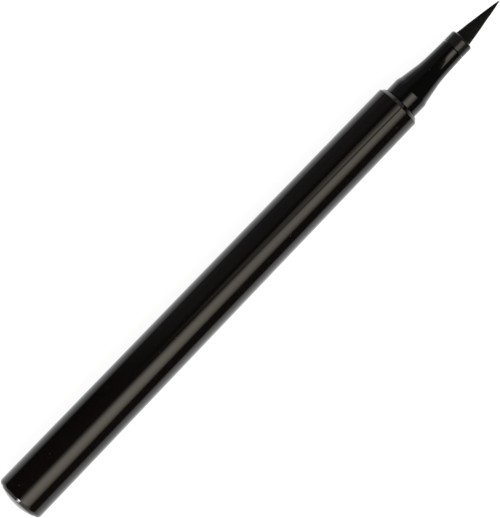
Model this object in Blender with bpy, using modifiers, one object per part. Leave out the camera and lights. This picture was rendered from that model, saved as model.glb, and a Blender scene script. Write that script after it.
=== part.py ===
"""A felt-tip liquid eyeliner pen, lying along X with the tip at +X.

The pen's turned pieces are profiles of (radius, place along the pen) spun round the pen's own axis. Places
along the pen are measured from the tail end of the barrel towards the tip, in metres. The object's origin is
the middle of the foot of its bounding box.
"""

import math

import bmesh
import bpy

FULL_TURN = 2 * math.pi
SHARP_ANGLE = math.pi / 6

# Facets round the outer pieces, and round the pieces inside
OUTER_SIDES = 32
INNER_SIDES = 24

# Clearances
PRESS_GAP = 0.00012
END_GAP = 0.0002
RUNNING_GAP = 0.00015
CUT_OVERRUN = 0.001
WELD_DISTANCE = 0.000001

# Barrel
BARREL_LENGTH = 0.10162
BARREL_TAIL_RADIUS = 0.0050
BARREL_MOUTH_RADIUS = 0.00458
BARREL_TAIL_CHAMFER_LENGTH = 0.0005
MOUTH_CHAMFER_LENGTH = 0.00075
MOUTH_CHAMFER_DEPTH = 0.00065
BARREL_WALL = 0.00088

# Tail plug
PLUG_HEAD_RADIUS = 0.0042
PLUG_HEAD_DEPTH = 0.0011
PLUG_DOME_RADIUS = 0.0102
PLUG_FLAT_RADIUS = 0.0012
PLUG_SPIGOT_LENGTH = 0.0050
PLUG_SPIGOT_GAP = 0.0002
PLUG_WALL = 0.0009
PLUG_BEAD_HEIGHT = 0.0001
PLUG_BEAD_WIDTH = 0.0006
DOME_STEPS = 6

# Ink tank
TANK_GAP = 0.00018
TANK_WALL = 0.0005
TANK_END_WALL = 0.0008
TANK_END_ROUND = 0.0006
ROUND_STEPS = 3

# Tank stopper and its seal
STOPPER_SPIGOT_LENGTH = 0.0040
STOPPER_FLANGE_THICKNESS = 0.0012
STOPPER_GROOVE_DEPTH = 0.00042
STOPPER_PORT_RADIUS = 0.0004
STOPPER_PORT_OFFSET = 0.00185
SEAL_SECTION_RADIUS = 0.0002
SEAL_SECTION_SIDES = 10
SEAL_GAP = 0.00005

# Mixing ball
BALL_RADIUS = 0.0020
BALL_SEGMENTS = 24
BALL_RINGS = 14

# Collector
COMB_REAR_LENGTH = 0.0098
COMB_FRONT_LENGTH = 0.0112
COMB_CORE_RADIUS = 0.0017
COMB_PITCH = 0.0010
FIN_THICKNESS = 0.0004
COMB_DISC_THICKNESS = 0.0010
COMB_FIN_GAP = 0.00015
INK_SLOT_WIDTH = 0.0004
AIR_SLOT_WIDTH = 0.0009
SLOT_DEPTH = 0.0002

# Feed wick
WICK_RADIUS = 0.0008
WICK_SETBACK = 0.0005
WICK_GAP = 0.00015

# Nose cone
NOSE_RADIUS = 0.00359
NOSE_SPIGOT_LENGTH = 0.0100
NOSE_COLLAR_LENGTH = 0.0028
NOSE_SHOULDER_LENGTH = 0.00093
NOSE_SHOULDER_DEPTH = 0.00025
NOSE_CONE_LENGTH = 0.00365
NOSE_CONE_END_RADIUS = 0.00271
NOSE_BLEND_LENGTH = 0.0040
NOSE_NECK_RADIUS = 0.002415
NOSE_NECK_LENGTH = 0.00273
NOSE_FRONT_RADIUS = 0.00235
NOSE_BLEND_STEPS = 6
NOSE_BORE_RADIUS = 0.00275
NOSE_BORE_LENGTH = 0.0123
NOSE_BORE_TAPER_LENGTH = 0.0053
NOSE_SEAL_SETBACK = 0.0040
NOSE_SEAL_GROOVE_DEPTH = 0.0004

# Front ring
RING_SEAM = 0.00012
RING_LENGTH = 0.00247
RING_RADIUS = 0.00234
RING_ROUND = 0.0003
RING_SPIGOT_RADIUS = 0.00185
RING_SPIGOT_LENGTH = 0.0058

# Felt tip
TIP_RADIUS = 0.00162
TIP_LENGTH = 0.00998
TIP_SEAT_DEPTH = 0.0011
TIP_GAP = 0.0001
TIP_FULLNESS_SHARE = 0.87
TIP_STATION_SHARES = (0.0, 0.2, 0.4, 0.6, 0.78, 0.9, 0.97)
SHANK_RADIUS = 0.00135
SHANK_LENGTH = 0.0105

# Radii that follow from the pieces that fit there
TAIL_SEAT_RADIUS = PLUG_HEAD_RADIUS + PRESS_GAP
TAIL_BORE_RADIUS = BARREL_TAIL_RADIUS - BARREL_WALL
MOUTH_BORE_RADIUS = NOSE_RADIUS + PRESS_GAP
PLUG_SPIGOT_RADIUS = TAIL_BORE_RADIUS - PLUG_SPIGOT_GAP
TIP_SHANK_BORE_RADIUS = SHANK_RADIUS + PRESS_GAP
TIP_SEAT_RADIUS = TIP_RADIUS + TIP_GAP
RING_SEAT_RADIUS = RING_SPIGOT_RADIUS + PRESS_GAP
WICK_BORE_RADIUS = WICK_RADIUS + WICK_GAP

# Places along the pen
NOSE_REAR = BARREL_LENGTH - NOSE_SPIGOT_LENGTH
NOSE_SEAT_REAR = NOSE_REAR - END_GAP
NOSE_COLLAR_END = BARREL_LENGTH + NOSE_COLLAR_LENGTH
NOSE_CONE_START = NOSE_COLLAR_END + NOSE_SHOULDER_LENGTH
NOSE_CONE_END = NOSE_CONE_START + NOSE_CONE_LENGTH
NOSE_NECK_START = NOSE_CONE_END + NOSE_BLEND_LENGTH
NOSE_FRONT = NOSE_NECK_START + NOSE_NECK_LENGTH
RING_REAR = NOSE_FRONT + RING_SEAM
RING_FRONT = RING_REAR + RING_LENGTH
TIP_SEAT = RING_FRONT - TIP_SEAT_DEPTH
TIP_END = RING_FRONT + TIP_LENGTH
SHANK_REAR = TIP_SEAT + TIP_GAP - SHANK_LENGTH
PLUG_FRONT = PLUG_HEAD_DEPTH + PLUG_SPIGOT_LENGTH
TANK_REAR = PLUG_FRONT + END_GAP
COMB_FRONT_END = NOSE_REAR + COMB_FRONT_LENGTH
COMB_REAR = NOSE_SEAT_REAR - COMB_REAR_LENGTH
STOPPER_FLANGE_FRONT = COMB_REAR - END_GAP
STOPPER_FLANGE_REAR = STOPPER_FLANGE_FRONT - STOPPER_FLANGE_THICKNESS
TANK_FRONT = STOPPER_FLANGE_REAR - END_GAP
STOPPER_REAR = TANK_FRONT - STOPPER_SPIGOT_LENGTH


def barrel_bore_radius(place):
    """The bore between the plug's seat and the nose's seat, which tapers with the barrel's outside."""
    narrowing = (BARREL_TAIL_RADIUS - BARREL_MOUTH_RADIUS) * place / BARREL_LENGTH
    return TAIL_BORE_RADIUS - narrowing


TANK_RADIUS = barrel_bore_radius(STOPPER_FLANGE_FRONT) - TANK_GAP
TANK_BORE_RADIUS = TANK_RADIUS - TANK_WALL
STOPPER_SPIGOT_RADIUS = TANK_BORE_RADIUS - PRESS_GAP
STOPPER_SEAL_PLACE = STOPPER_REAR + STOPPER_SPIGOT_LENGTH / 2
NOSE_SEAL_PLACE = NOSE_REAR + NOSE_SEAL_SETBACK


def clear_scene():
    for thing in list(bpy.data.objects):
        bpy.data.objects.remove(thing, do_unlink=True)


def new_collection(name):
    collection = bpy.data.collections.new(name)
    bpy.context.scene.collection.children.link(collection)
    return collection


def make_material(name, colour, roughness, metallic=0.0):
    material = bpy.data.materials.new(name)
    material.use_nodes = True
    shader = material.node_tree.nodes["Principled BSDF"]
    shader.inputs["Base Color"].default_value = (*colour, 1.0)
    shader.inputs["Roughness"].default_value = roughness
    shader.inputs["Metallic"].default_value = metallic
    material.diffuse_color = (*colour, 1.0)
    return material


def make_axis(collection):
    """An empty on the pen's axis at the barrel's tail end, with its own Z running towards the tip."""
    axis = bpy.data.objects.new("pen_axis", None)
    collection.objects.link(axis)
    axis.location.x = -(TIP_END - dome_height()) / 2
    axis.location.z = BARREL_TAIL_RADIUS
    axis.rotation_euler.y = math.pi / 2
    return axis


def arc_points(centre_radius, centre_place, size, start, end, steps):
    """Points on an arc of a profile, from angle start to angle end, where 0 points away from the axis."""
    points = []
    for step in range(steps + 1):
        angle = start + (end - start) * step / steps
        points.append((centre_radius + size * math.cos(angle), centre_place + size * math.sin(angle)))
    return points


def seal_groove(radius, depth, place):
    """A square groove for a seal in a cylinder's outline, from its front edge to its rear edge."""
    front = place + SEAL_SECTION_RADIUS + SEAL_GAP
    rear = place - SEAL_SECTION_RADIUS - SEAL_GAP
    return [(radius, front), (radius - depth, front), (radius - depth, rear), (radius, rear)]


def profile_mesh(name, points, closed):
    """The profile as a chain of edges in the XZ plane. A closed one comes back to its first point."""
    mesh = bpy.data.meshes.new(name)
    last = len(points) - 1
    edges = [(index, index + 1) for index in range(last)]
    if closed:
        edges.append((last, 0))
    mesh.from_pydata([(radius, 0, place) for radius, place in points], edges, [])
    return mesh


def turn(name, points, axis, collection, material, sides=INNER_SIDES):
    """Spins a profile round the pen's axis, with a flat facet facing down. Its points run tip end first down
    the outer side, and back through the bore of a hollow piece. Its radii are those of the flats."""
    on_axis = points[0][0] == 0 and points[-1][0] == 0
    corners = [(radius / math.cos(math.pi / sides), place) for radius, place in points]
    piece = bpy.data.objects.new(name, profile_mesh(name, corners, closed=not on_axis))
    collection.objects.link(piece)
    piece.parent = axis
    piece.rotation_euler.z = math.pi / sides
    screw = piece.modifiers.new("turned", "SCREW")
    screw.axis = "Z"
    screw.angle = FULL_TURN
    screw.steps = sides
    screw.render_steps = sides
    screw.use_merge_vertices = True
    screw.merge_threshold = WELD_DISTANCE
    piece.data.materials.append(material)
    return piece


def box_cutter(name, low, high, axis, cutters):
    """A box between two corners in the axis's own frame."""
    mesh = bpy.data.meshes.new(name)
    build = bmesh.new()
    bmesh.ops.create_cube(build, size=1)
    for vertex in build.verts:
        for i in range(len(low)):
            vertex.co[i] = (low[i] + high[i]) / 2 + vertex.co[i] * (high[i] - low[i])
    build.to_mesh(mesh)
    build.free()
    return add_cutter(name, mesh, axis, cutters)


def rod_cutter(name, radius, offset, rear, front, axis, cutters):
    """A rod along the pen at an offset from its axis."""
    mesh = bpy.data.meshes.new(name)
    build = bmesh.new()
    bmesh.ops.create_cone(
        build, cap_ends=True, segments=SEAL_SECTION_SIDES, radius1=radius, radius2=radius, depth=front - rear
    )
    bmesh.ops.translate(build, verts=build.verts, vec=(offset, 0, (front + rear) / 2))
    build.to_mesh(mesh)
    build.free()
    return add_cutter(name, mesh, axis, cutters)


def add_cutter(name, mesh, axis, cutters):
    cutter = bpy.data.objects.new(name, mesh)
    cutters.objects.link(cutter)
    cutter.parent = axis
    cutter.hide_render = True
    cutter.display_type = "WIRE"
    return cutter


def cut(piece, cutter):
    boolean = piece.modifiers.new(cutter.name, "BOOLEAN")
    boolean.operation = "DIFFERENCE"
    boolean.solver = "EXACT"
    boolean.object = cutter


def bake_and_smooth(piece):
    """Turns the piece's modifiers into plain mesh, shaded smooth up to its corners."""
    graph = bpy.context.evaluated_depsgraph_get()
    mesh = bpy.data.meshes.new_from_object(piece.evaluated_get(graph))
    piece.modifiers.clear()
    piece.data = mesh
    mesh.name = piece.name
    mesh.shade_smooth()
    mesh.set_sharp_from_angle(angle=SHARP_ANGLE)


def dome_height():
    """How far the tail plug's flat stands behind the barrel's tail end."""
    flat = math.sqrt(PLUG_DOME_RADIUS**2 - PLUG_FLAT_RADIUS**2)
    rim = math.sqrt(PLUG_DOME_RADIUS**2 - PLUG_HEAD_RADIUS**2)
    return flat - rim


def make_barrel(axis, collection, material):
    seat_end = PLUG_HEAD_DEPTH + END_GAP
    chamfer_start = BARREL_LENGTH - MOUTH_CHAMFER_LENGTH
    points = [
        (BARREL_MOUTH_RADIUS - MOUTH_CHAMFER_DEPTH, BARREL_LENGTH),
        (BARREL_MOUTH_RADIUS, chamfer_start),
        (BARREL_TAIL_RADIUS, BARREL_TAIL_CHAMFER_LENGTH),
        (TAIL_SEAT_RADIUS, 0),
        (TAIL_SEAT_RADIUS, seat_end),
        (barrel_bore_radius(seat_end), seat_end),
        (barrel_bore_radius(NOSE_SEAT_REAR), NOSE_SEAT_REAR),
        (MOUTH_BORE_RADIUS, NOSE_SEAT_REAR),
        (MOUTH_BORE_RADIUS, BARREL_LENGTH),
    ]
    return turn("barrel", points, axis, collection, material, OUTER_SIDES)


def make_tail_plug(axis, collection, material):
    """A domed head with a small flat in its middle, and a hollow spigot with one raised bead."""
    bead_front = PLUG_HEAD_DEPTH + (PLUG_SPIGOT_LENGTH + PLUG_BEAD_WIDTH) / 2
    bead_rear = bead_front - PLUG_BEAD_WIDTH
    bead_radius = PLUG_SPIGOT_RADIUS + PLUG_BEAD_HEIGHT
    dome_centre = math.sqrt(PLUG_DOME_RADIUS**2 - PLUG_HEAD_RADIUS**2)
    rim_angle = -math.acos(PLUG_HEAD_RADIUS / PLUG_DOME_RADIUS)
    flat_angle = -math.acos(PLUG_FLAT_RADIUS / PLUG_DOME_RADIUS)
    dome = arc_points(0, dome_centre, PLUG_DOME_RADIUS, rim_angle, flat_angle, DOME_STEPS)
    bore_radius = PLUG_SPIGOT_RADIUS - PLUG_WALL
    points = [
        (0, PLUG_WALL),
        (bore_radius, PLUG_WALL),
        (bore_radius, PLUG_FRONT),
        (PLUG_SPIGOT_RADIUS, PLUG_FRONT),
        (PLUG_SPIGOT_RADIUS, bead_front),
        (bead_radius, bead_front - PLUG_BEAD_HEIGHT),
        (bead_radius, bead_rear + PLUG_BEAD_HEIGHT),
        (PLUG_SPIGOT_RADIUS, bead_rear),
        (PLUG_SPIGOT_RADIUS, PLUG_HEAD_DEPTH),
        (PLUG_HEAD_RADIUS, PLUG_HEAD_DEPTH),
        *dome,
        (0, dome[-1][1]),
    ]
    return turn("tail_plug", points, axis, collection, material, OUTER_SIDES)


def make_ink_tank(axis, collection, material):
    """A sleeve that is closed at its tail end, where its edge is rounded."""
    floor = TANK_REAR + TANK_END_WALL
    round_centre = TANK_REAR + TANK_END_ROUND
    edge_radius = TANK_RADIUS - TANK_END_ROUND
    edge = arc_points(edge_radius, round_centre, TANK_END_ROUND, 0, -math.pi / 2, ROUND_STEPS)
    points = [
        (0, floor),
        (TANK_BORE_RADIUS, floor),
        (TANK_BORE_RADIUS, TANK_FRONT),
        (TANK_RADIUS, TANK_FRONT),
        *edge,
        (0, TANK_REAR),
    ]
    return turn("ink_tank", points, axis, collection, material)


def make_tank_stopper(axis, collection, cutters, material):
    """A flanged plug with a bore for the wick, a port for the ink and a groove for its seal."""
    points = [
        (WICK_BORE_RADIUS, STOPPER_FLANGE_FRONT),
        (TANK_RADIUS, STOPPER_FLANGE_FRONT),
        (TANK_RADIUS, STOPPER_FLANGE_REAR),
        (STOPPER_SPIGOT_RADIUS, STOPPER_FLANGE_REAR),
        *seal_groove(STOPPER_SPIGOT_RADIUS, STOPPER_GROOVE_DEPTH, STOPPER_SEAL_PLACE),
        (STOPPER_SPIGOT_RADIUS, STOPPER_REAR),
        (WICK_BORE_RADIUS, STOPPER_REAR),
    ]
    stopper = turn("tank_stopper", points, axis, collection, material)
    port = rod_cutter(
        "ink_port_cutter",
        STOPPER_PORT_RADIUS,
        STOPPER_PORT_OFFSET,
        STOPPER_REAR - CUT_OVERRUN,
        STOPPER_FLANGE_FRONT + CUT_OVERRUN,
        axis,
        cutters,
    )
    cut(stopper, port)
    return stopper


def make_seal(name, radius, place, axis, collection, material, sides):
    """A round-section ring whose outer side lies at the given radius."""
    centre_radius = radius - SEAL_SECTION_RADIUS
    section = arc_points(centre_radius, place, SEAL_SECTION_RADIUS, FULL_TURN, 0, SEAL_SECTION_SIDES)
    return turn(name, section[:-1], axis, collection, material, sides)


def make_mixing_ball(axis, collection, material):
    """The loose ball at the front end of the tank, lying on the tank's lower wall."""
    mesh = bpy.data.meshes.new("mixing_ball")
    build = bmesh.new()
    bmesh.ops.create_uvsphere(build, u_segments=BALL_SEGMENTS, v_segments=BALL_RINGS, radius=BALL_RADIUS)
    build.to_mesh(mesh)
    build.free()
    mesh.shade_smooth()
    ball = bpy.data.objects.new("mixing_ball", mesh)
    collection.objects.link(ball)
    ball.parent = axis
    ball.location.x = TANK_BORE_RADIUS - RUNNING_GAP - BALL_RADIUS
    ball.location.z = STOPPER_REAR - END_GAP - BALL_RADIUS
    mesh.materials.append(material)
    return ball


def fins(radius, front, length):
    """The outer outline of a row of thin fins, from its front end down to its rear end."""
    count = int(length / COMB_PITCH)
    points = []
    for index in range(count):
        fin_front = front - index * COMB_PITCH
        fin_rear = fin_front - FIN_THICKNESS
        points += [(COMB_CORE_RADIUS, fin_front), (radius, fin_front)]
        points += [(radius, fin_rear), (COMB_CORE_RADIUS, fin_rear)]
    return points


def make_collector(axis, collection, cutters, material):
    """Two rows of fins on one hollow core. The narrow row stands in the nose and the wide one behind it."""
    wide = TANK_RADIUS - COMB_FIN_GAP
    narrow = NOSE_BORE_RADIUS - COMB_FIN_GAP
    disc_rear = NOSE_SEAT_REAR - COMB_DISC_THICKNESS
    points = [
        (WICK_BORE_RADIUS, COMB_FRONT_END),
        *fins(narrow, COMB_FRONT_END, COMB_FRONT_LENGTH - FIN_THICKNESS),
        (COMB_CORE_RADIUS, NOSE_SEAT_REAR),
        (wide, NOSE_SEAT_REAR),
        (wide, disc_rear),
        (COMB_CORE_RADIUS, disc_rear),
        *fins(wide, disc_rear - FIN_THICKNESS, COMB_REAR_LENGTH - COMB_DISC_THICKNESS - FIN_THICKNESS),
        (COMB_CORE_RADIUS, COMB_REAR),
        (WICK_BORE_RADIUS, COMB_REAR),
    ]
    collector = turn("collector", points, axis, collection, material)
    inner, outer = COMB_CORE_RADIUS - SLOT_DEPTH, wide + CUT_OVERRUN
    rear, front = COMB_REAR - CUT_OVERRUN, COMB_FRONT_END + CUT_OVERRUN
    ink_low, ink_high = (inner, -INK_SLOT_WIDTH / 2, rear), (outer, INK_SLOT_WIDTH / 2, front)
    air_low, air_high = (-outer, -AIR_SLOT_WIDTH / 2, rear), (-inner, AIR_SLOT_WIDTH / 2, front)
    cut(collector, box_cutter("ink_slot_cutter", ink_low, ink_high, axis, cutters))
    cut(collector, box_cutter("air_slot_cutter", air_low, air_high, axis, cutters))
    return collector


def make_feed_wick(axis, collection, material):
    front = SHANK_REAR - END_GAP
    rear = STOPPER_REAR + WICK_SETBACK
    points = [(0, front), (WICK_RADIUS, front), (WICK_RADIUS, rear), (0, rear)]
    return turn("feed_wick", points, axis, collection, material)


def nose_blend():
    """The hollow curve from the cone to the neck, level with each at its ends."""
    cone_start_radius = NOSE_RADIUS - NOSE_SHOULDER_DEPTH
    cone_slope = (NOSE_CONE_END_RADIUS - cone_start_radius) / NOSE_CONE_LENGTH
    neck_slope = (NOSE_FRONT_RADIUS - NOSE_NECK_RADIUS) / NOSE_NECK_LENGTH
    points = []
    for step in range(NOSE_BLEND_STEPS + 1):
        t = step / NOSE_BLEND_STEPS
        start_weight = 2 * t**3 - 3 * t**2 + 1
        start_slope_weight = (t**3 - 2 * t**2 + t) * NOSE_BLEND_LENGTH
        end_slope_weight = (t**3 - t**2) * NOSE_BLEND_LENGTH
        radius = NOSE_CONE_END_RADIUS * start_weight + NOSE_NECK_RADIUS * (1 - start_weight)
        radius += cone_slope * start_slope_weight + neck_slope * end_slope_weight
        points.append((radius, NOSE_CONE_END + NOSE_BLEND_LENGTH * t))
    return points[::-1]


def make_nose_cone(axis, collection, material):
    bore_end = NOSE_REAR + NOSE_BORE_LENGTH
    taper_end = bore_end + NOSE_BORE_TAPER_LENGTH
    points = [
        (RING_SEAT_RADIUS, NOSE_FRONT),
        (NOSE_FRONT_RADIUS, NOSE_FRONT),
        *nose_blend(),
        (NOSE_RADIUS - NOSE_SHOULDER_DEPTH, NOSE_CONE_START),
        (NOSE_RADIUS, NOSE_COLLAR_END),
        *seal_groove(NOSE_RADIUS, NOSE_SEAL_GROOVE_DEPTH, NOSE_SEAL_PLACE),
        (NOSE_RADIUS, NOSE_REAR),
        (NOSE_BORE_RADIUS, NOSE_REAR),
        (NOSE_BORE_RADIUS, bore_end),
        (RING_SEAT_RADIUS, taper_end),
    ]
    return turn("nose_cone", points, axis, collection, material, OUTER_SIDES)


def make_front_ring(axis, collection, material):
    """A short ring that covers the nose's front end, on a long spigot that holds the tip."""
    round_centre = RING_FRONT - RING_ROUND
    corner = arc_points(RING_RADIUS - RING_ROUND, round_centre, RING_ROUND, math.pi / 2, 0, ROUND_STEPS)
    spigot_rear = RING_REAR - RING_SPIGOT_LENGTH
    points = [
        (TIP_SEAT_RADIUS, RING_FRONT),
        *corner,
        (RING_RADIUS, RING_REAR),
        (RING_SPIGOT_RADIUS, RING_REAR),
        (RING_SPIGOT_RADIUS, spigot_rear),
        (TIP_SHANK_BORE_RADIUS, spigot_rear),
        (TIP_SHANK_BORE_RADIUS, TIP_SEAT),
        (TIP_SEAT_RADIUS, TIP_SEAT),
    ]
    return turn("front_ring", points, axis, collection, material, OUTER_SIDES)


def make_felt_tip(axis, collection, material):
    """A slightly full cone on a short shoulder, with a thinner shank behind it."""
    cone = [
        (TIP_RADIUS * (1 - share) ** TIP_FULLNESS_SHARE, RING_FRONT + TIP_LENGTH * share)
        for share in TIP_STATION_SHARES
    ]
    shoulder = TIP_SEAT + TIP_GAP
    points = [
        (0, TIP_END),
        *cone[::-1],
        (TIP_RADIUS, shoulder),
        (SHANK_RADIUS, shoulder),
        (SHANK_RADIUS, SHANK_REAR),
        (0, SHANK_REAR),
    ]
    return turn("felt_tip", points, axis, collection, material)


def build_pen():
    clear_scene()
    pen = new_collection("felt_tip_eyeliner_pen")
    cutters = new_collection("cutters")
    axis = make_axis(pen)
    black_gloss = make_material("black_gloss_plastic", (0.006, 0.0055, 0.0055), 0.12)
    black_satin = make_material("black_satin_plastic", (0.008, 0.0078, 0.0078), 0.2)
    felt = make_material("inked_felt", (0.009, 0.009, 0.009), 0.9)
    milky = make_material("milky_plastic", (0.72, 0.72, 0.68), 0.35)
    white = make_material("white_moulding", (0.78, 0.77, 0.73), 0.4)
    rubber = make_material("black_rubber", (0.02, 0.02, 0.02), 0.6)
    fibre = make_material("inked_fibre", (0.02, 0.02, 0.022), 0.9)
    steel = make_material("bright_steel", (0.6, 0.6, 0.6), 0.15, metallic=1.0)
    tank_seal_radius = TANK_BORE_RADIUS - SEAL_GAP
    nose_seal_radius = MOUTH_BORE_RADIUS - SEAL_GAP
    pieces = [
        make_barrel(axis, pen, black_gloss),
        make_tail_plug(axis, pen, black_gloss),
        make_ink_tank(axis, pen, milky),
        make_tank_stopper(axis, pen, cutters, white),
        make_seal("stopper_o_ring", tank_seal_radius, STOPPER_SEAL_PLACE, axis, pen, rubber, INNER_SIDES),
        make_collector(axis, pen, cutters, white),
        make_feed_wick(axis, pen, fibre),
        make_nose_cone(axis, pen, black_satin),
        make_seal("nose_o_ring", nose_seal_radius, NOSE_SEAL_PLACE, axis, pen, rubber, OUTER_SIDES),
        make_front_ring(axis, pen, black_satin),
        make_felt_tip(axis, pen, felt),
    ]
    for piece in pieces:
        bake_and_smooth(piece)
    make_mixing_ball(axis, pen, steel)


build_pen()
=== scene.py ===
"""A felt-tip liquid eyeliner pen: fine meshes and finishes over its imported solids, and the studio round it.

The pen lies along X with its tip at +X. Its turned pieces have profiles in millimetres. A corner of a profile
is a place along the pen from the barrel's tail end, a radius, and the rounding of that corner.
"""

import math

import bpy
from bpy.props import FloatProperty, FloatVectorProperty, IntProperty, PointerProperty
from mathutils import Matrix, Vector


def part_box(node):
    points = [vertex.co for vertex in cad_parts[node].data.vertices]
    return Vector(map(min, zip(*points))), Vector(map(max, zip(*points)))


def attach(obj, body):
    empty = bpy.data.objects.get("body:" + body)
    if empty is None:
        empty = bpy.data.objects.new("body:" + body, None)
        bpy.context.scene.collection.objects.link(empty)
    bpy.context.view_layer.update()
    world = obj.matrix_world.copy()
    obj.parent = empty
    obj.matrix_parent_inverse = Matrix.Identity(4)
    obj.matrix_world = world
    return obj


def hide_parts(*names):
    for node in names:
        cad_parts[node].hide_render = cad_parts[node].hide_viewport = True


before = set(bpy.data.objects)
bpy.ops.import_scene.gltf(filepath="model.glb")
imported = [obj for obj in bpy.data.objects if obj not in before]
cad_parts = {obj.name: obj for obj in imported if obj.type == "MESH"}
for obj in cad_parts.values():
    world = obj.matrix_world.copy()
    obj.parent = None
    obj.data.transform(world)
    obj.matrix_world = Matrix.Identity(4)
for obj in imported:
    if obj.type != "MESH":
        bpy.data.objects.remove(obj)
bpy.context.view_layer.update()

bl_info = {
    "name": "Felt-Tip Eyeliner Pen",
    "version": (1, 0, 0),
    "blender": (4, 5, 0),
    "location": "3D View > Sidebar > Eyeliner",
    "description": "Builds the visible pieces of a felt-tip liquid eyeliner pen and a white studio",
    "category": "Object",
}

MM = 0.001
PEN = "pen"
LOOSE_BALL = "loose_ball"

BARREL_LOW, BARREL_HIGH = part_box("barrel")
TAIL = BARREL_LOW.x
AXIS_HEIGHT = (BARREL_LOW.z + BARREL_HIGH.z) / 2


def span(node):
    """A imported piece's rear place, front place and radius, in millimetres."""
    low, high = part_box(node)
    return (low.x - TAIL) / MM, (high.x - TAIL) / MM, (high.z - low.z) / 2 / MM


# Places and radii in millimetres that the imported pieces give
MOUTH, TAIL_RADIUS = span("barrel")[1:]
DOME_TOP, PLUG_FRONT, PLUG_RADIUS = span("tail_plug")
NOSE_REAR, NOSE_FRONT, NOSE_RADIUS = span("nose_cone")
SPIGOT_REAR, RING_FRONT, RING_RADIUS = span("front_ring")
SHANK_REAR, TIP_POINT, HEEL_RADIUS = span("felt_tip")

# Gaps between pieces, in millimetres
PRESS_GAP = 0.12
HEEL_GAP = 0.1
END_GAP = 0.2

# Sizes of the barrel, in millimetres
TAIL_RIM_ROUND = 0.92
MOUTH_RADIUS = 4.58
MOUTH_LIP_RADIUS = 3.955
MOUTH_CHAMFER_LENGTH = 0.72
BORE_FRONT_RADIUS = 3.742
BORE_TAIL_RADIUS = 4.115
PLUG_SEAT_DEPTH = 1.3
PLUG_SEAT_LIP_DEPTH = 0.45
PLUG_SEAT_LIP_RADIUS = 4.65

# Sizes of the tail plug, in millimetres
DOME_FLAT_RADIUS = 1.2
PLUG_RIM_ROUND = 0.6
PLUG_HEAD_DEPTH = 1.1
PLUG_SPIGOT_RADIUS = 3.92
PLUG_BORE_RADIUS = 3.02
PLUG_END_WALL = 0.9
BEAD_REAR = 3.2
BEAD_SLOPE = 0.2
BEAD_LENGTH = 0.7
BEAD_HEIGHT = 0.1

# Sizes of the nose, in millimetres
SEAL_GROOVE_SETBACK = 3.75
SEAL_GROOVE_WIDTH = 0.5
SEAL_GROOVE_DEPTH = 0.4
MOUTH_GROOVE_OFFSET = 0.02
MOUTH_GROOVE_DEPTH = 0.14
COLLAR_LENGTH = 2.98
COLLAR_ROUND = 2.0
SHOULDER_LENGTH = 0.8
SHOULDER_DEPTH = 0.26
SHOULDER_ROUND = 3.0
CONE_LENGTH = 3.6
CONE_END_RADIUS = 2.71
NECK_END_RADIUS = 2.35
NECK_SLOPE = -0.023
FLARE_LENGTH = 1.6
NOSE_BORE_RADIUS = 2.75
NOSE_BORE_LENGTH = 12.3
NOSE_BORE_TAPER_LENGTH = 5.3

# Sizes of the ring and the tip, in millimetres
RING_SEAM = 0.12
RING_ROUND = 0.42
SPIGOT_RADIUS = 1.85
HEEL_SEAT_DEPTH = 1.1
SHANK_RADIUS = 1.35
TIP_END_SHARE = 0.996
TIP_CROWDING = 1.5

# Walls and rounds of the ink tank and the wick, in millimetres
TANK_WALL = 0.5
TANK_END_WALL = 0.8
TANK_END_ROUND = 0.6
TANK_FLOOR_ROUND = 0.3
WICK_ROUND = 0.12

# Roundings of small edges, in millimetres
SHARP = 0.0
CRISP = 0.02
FINE = 0.03
SMALL = 0.05
SOFT = 0.08
BROAD = 0.15

# The fibres on the felt point: shares of its length and of a fibre's own radius, and radians round the point
FIBRE_REACH_SHARES = (0.16, 0.4)
FIBRE_START_SHARES = (-0.05, 0.72)
FIBRE_LAST_SHARE = 0.985
FIBRE_SINK_SHARE = 0.62
FIBRE_END_SHARE = 0.2
FIBRE_WANDER = 0.16
FIBRE_JITTER = 0.05
FIBRE_SEED = 7

# How finely the profiles and the strands are divided
RIM_STEPS = 15
DOME_STEPS = 28
BLEND_STEPS = 36
CIRCLE_STEPS = 32
TIP_STEPS = 48
CORNER_STEPS = 7
STRAND_POINTS = 14
STRAND_SIDES = 5

# How the meshes are finished, in metres and radians
WELD_DISTANCE = 0.0000005
SHARP_ANGLE = math.radians(40)


# Profiles


def lerp(start, end, share):
    return start + (end - start) * share


def arc(place, radius, size, start, end, steps):
    """Points on a circle's arc round a place and radius, by the angle from +X outwards."""
    angles = (lerp(start, end, step / steps) for step in range(steps + 1))
    return [(place + size * math.cos(angle), radius + size * math.sin(angle)) for angle in angles]


def sharp(points):
    """Points of a curve, as corners that stay as they are."""
    return [(place, radius, SHARP) for place, radius in points]


def corner_arc(before, corner, after, size):
    """The points of a round corner, from the end of one straight run to the start of the next."""
    before, corner, after = Vector(before), Vector(corner), Vector(after)
    first, second = (corner - before).normalized(), (after - corner).normalized()
    turn = first.angle_signed(second)
    reach = size * math.tan(abs(turn) / 2)
    side = -1 if turn > 0 else 1
    across = Vector((-first.y, first.x)) * side
    centre = corner - first * reach + across * size
    points = []
    for step in range(CORNER_STEPS + 1):
        arm = Matrix.Rotation(side * abs(turn) * step / CORNER_STEPS, 2) @ (-across * size)
        points.append(tuple(centre + arm))
    return points


def rounded(corners, support=0.12):
    """The profile with its corners rounded, and a support point on each straight run beside a rounding."""
    points = []
    for index, (place, radius, size) in enumerate(corners):
        at_end = index in (0, len(corners) - 1)
        if size == SHARP or at_end:
            points.append((place, radius))
            continue
        before, after = corners[index - 1][:2], corners[index + 1][:2]
        bend = corner_arc(before, (place, radius), after, size)
        toward, away = Vector(before) - Vector(bend[0]), Vector(after) - Vector(bend[-1])
        if toward.length > 3 * support:
            bend.insert(0, tuple(Vector(bend[0]) + toward.normalized() * support))
        if away.length > 3 * support:
            bend.append(tuple(Vector(bend[-1]) + away.normalized() * support))
        points += bend
    return points


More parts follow.
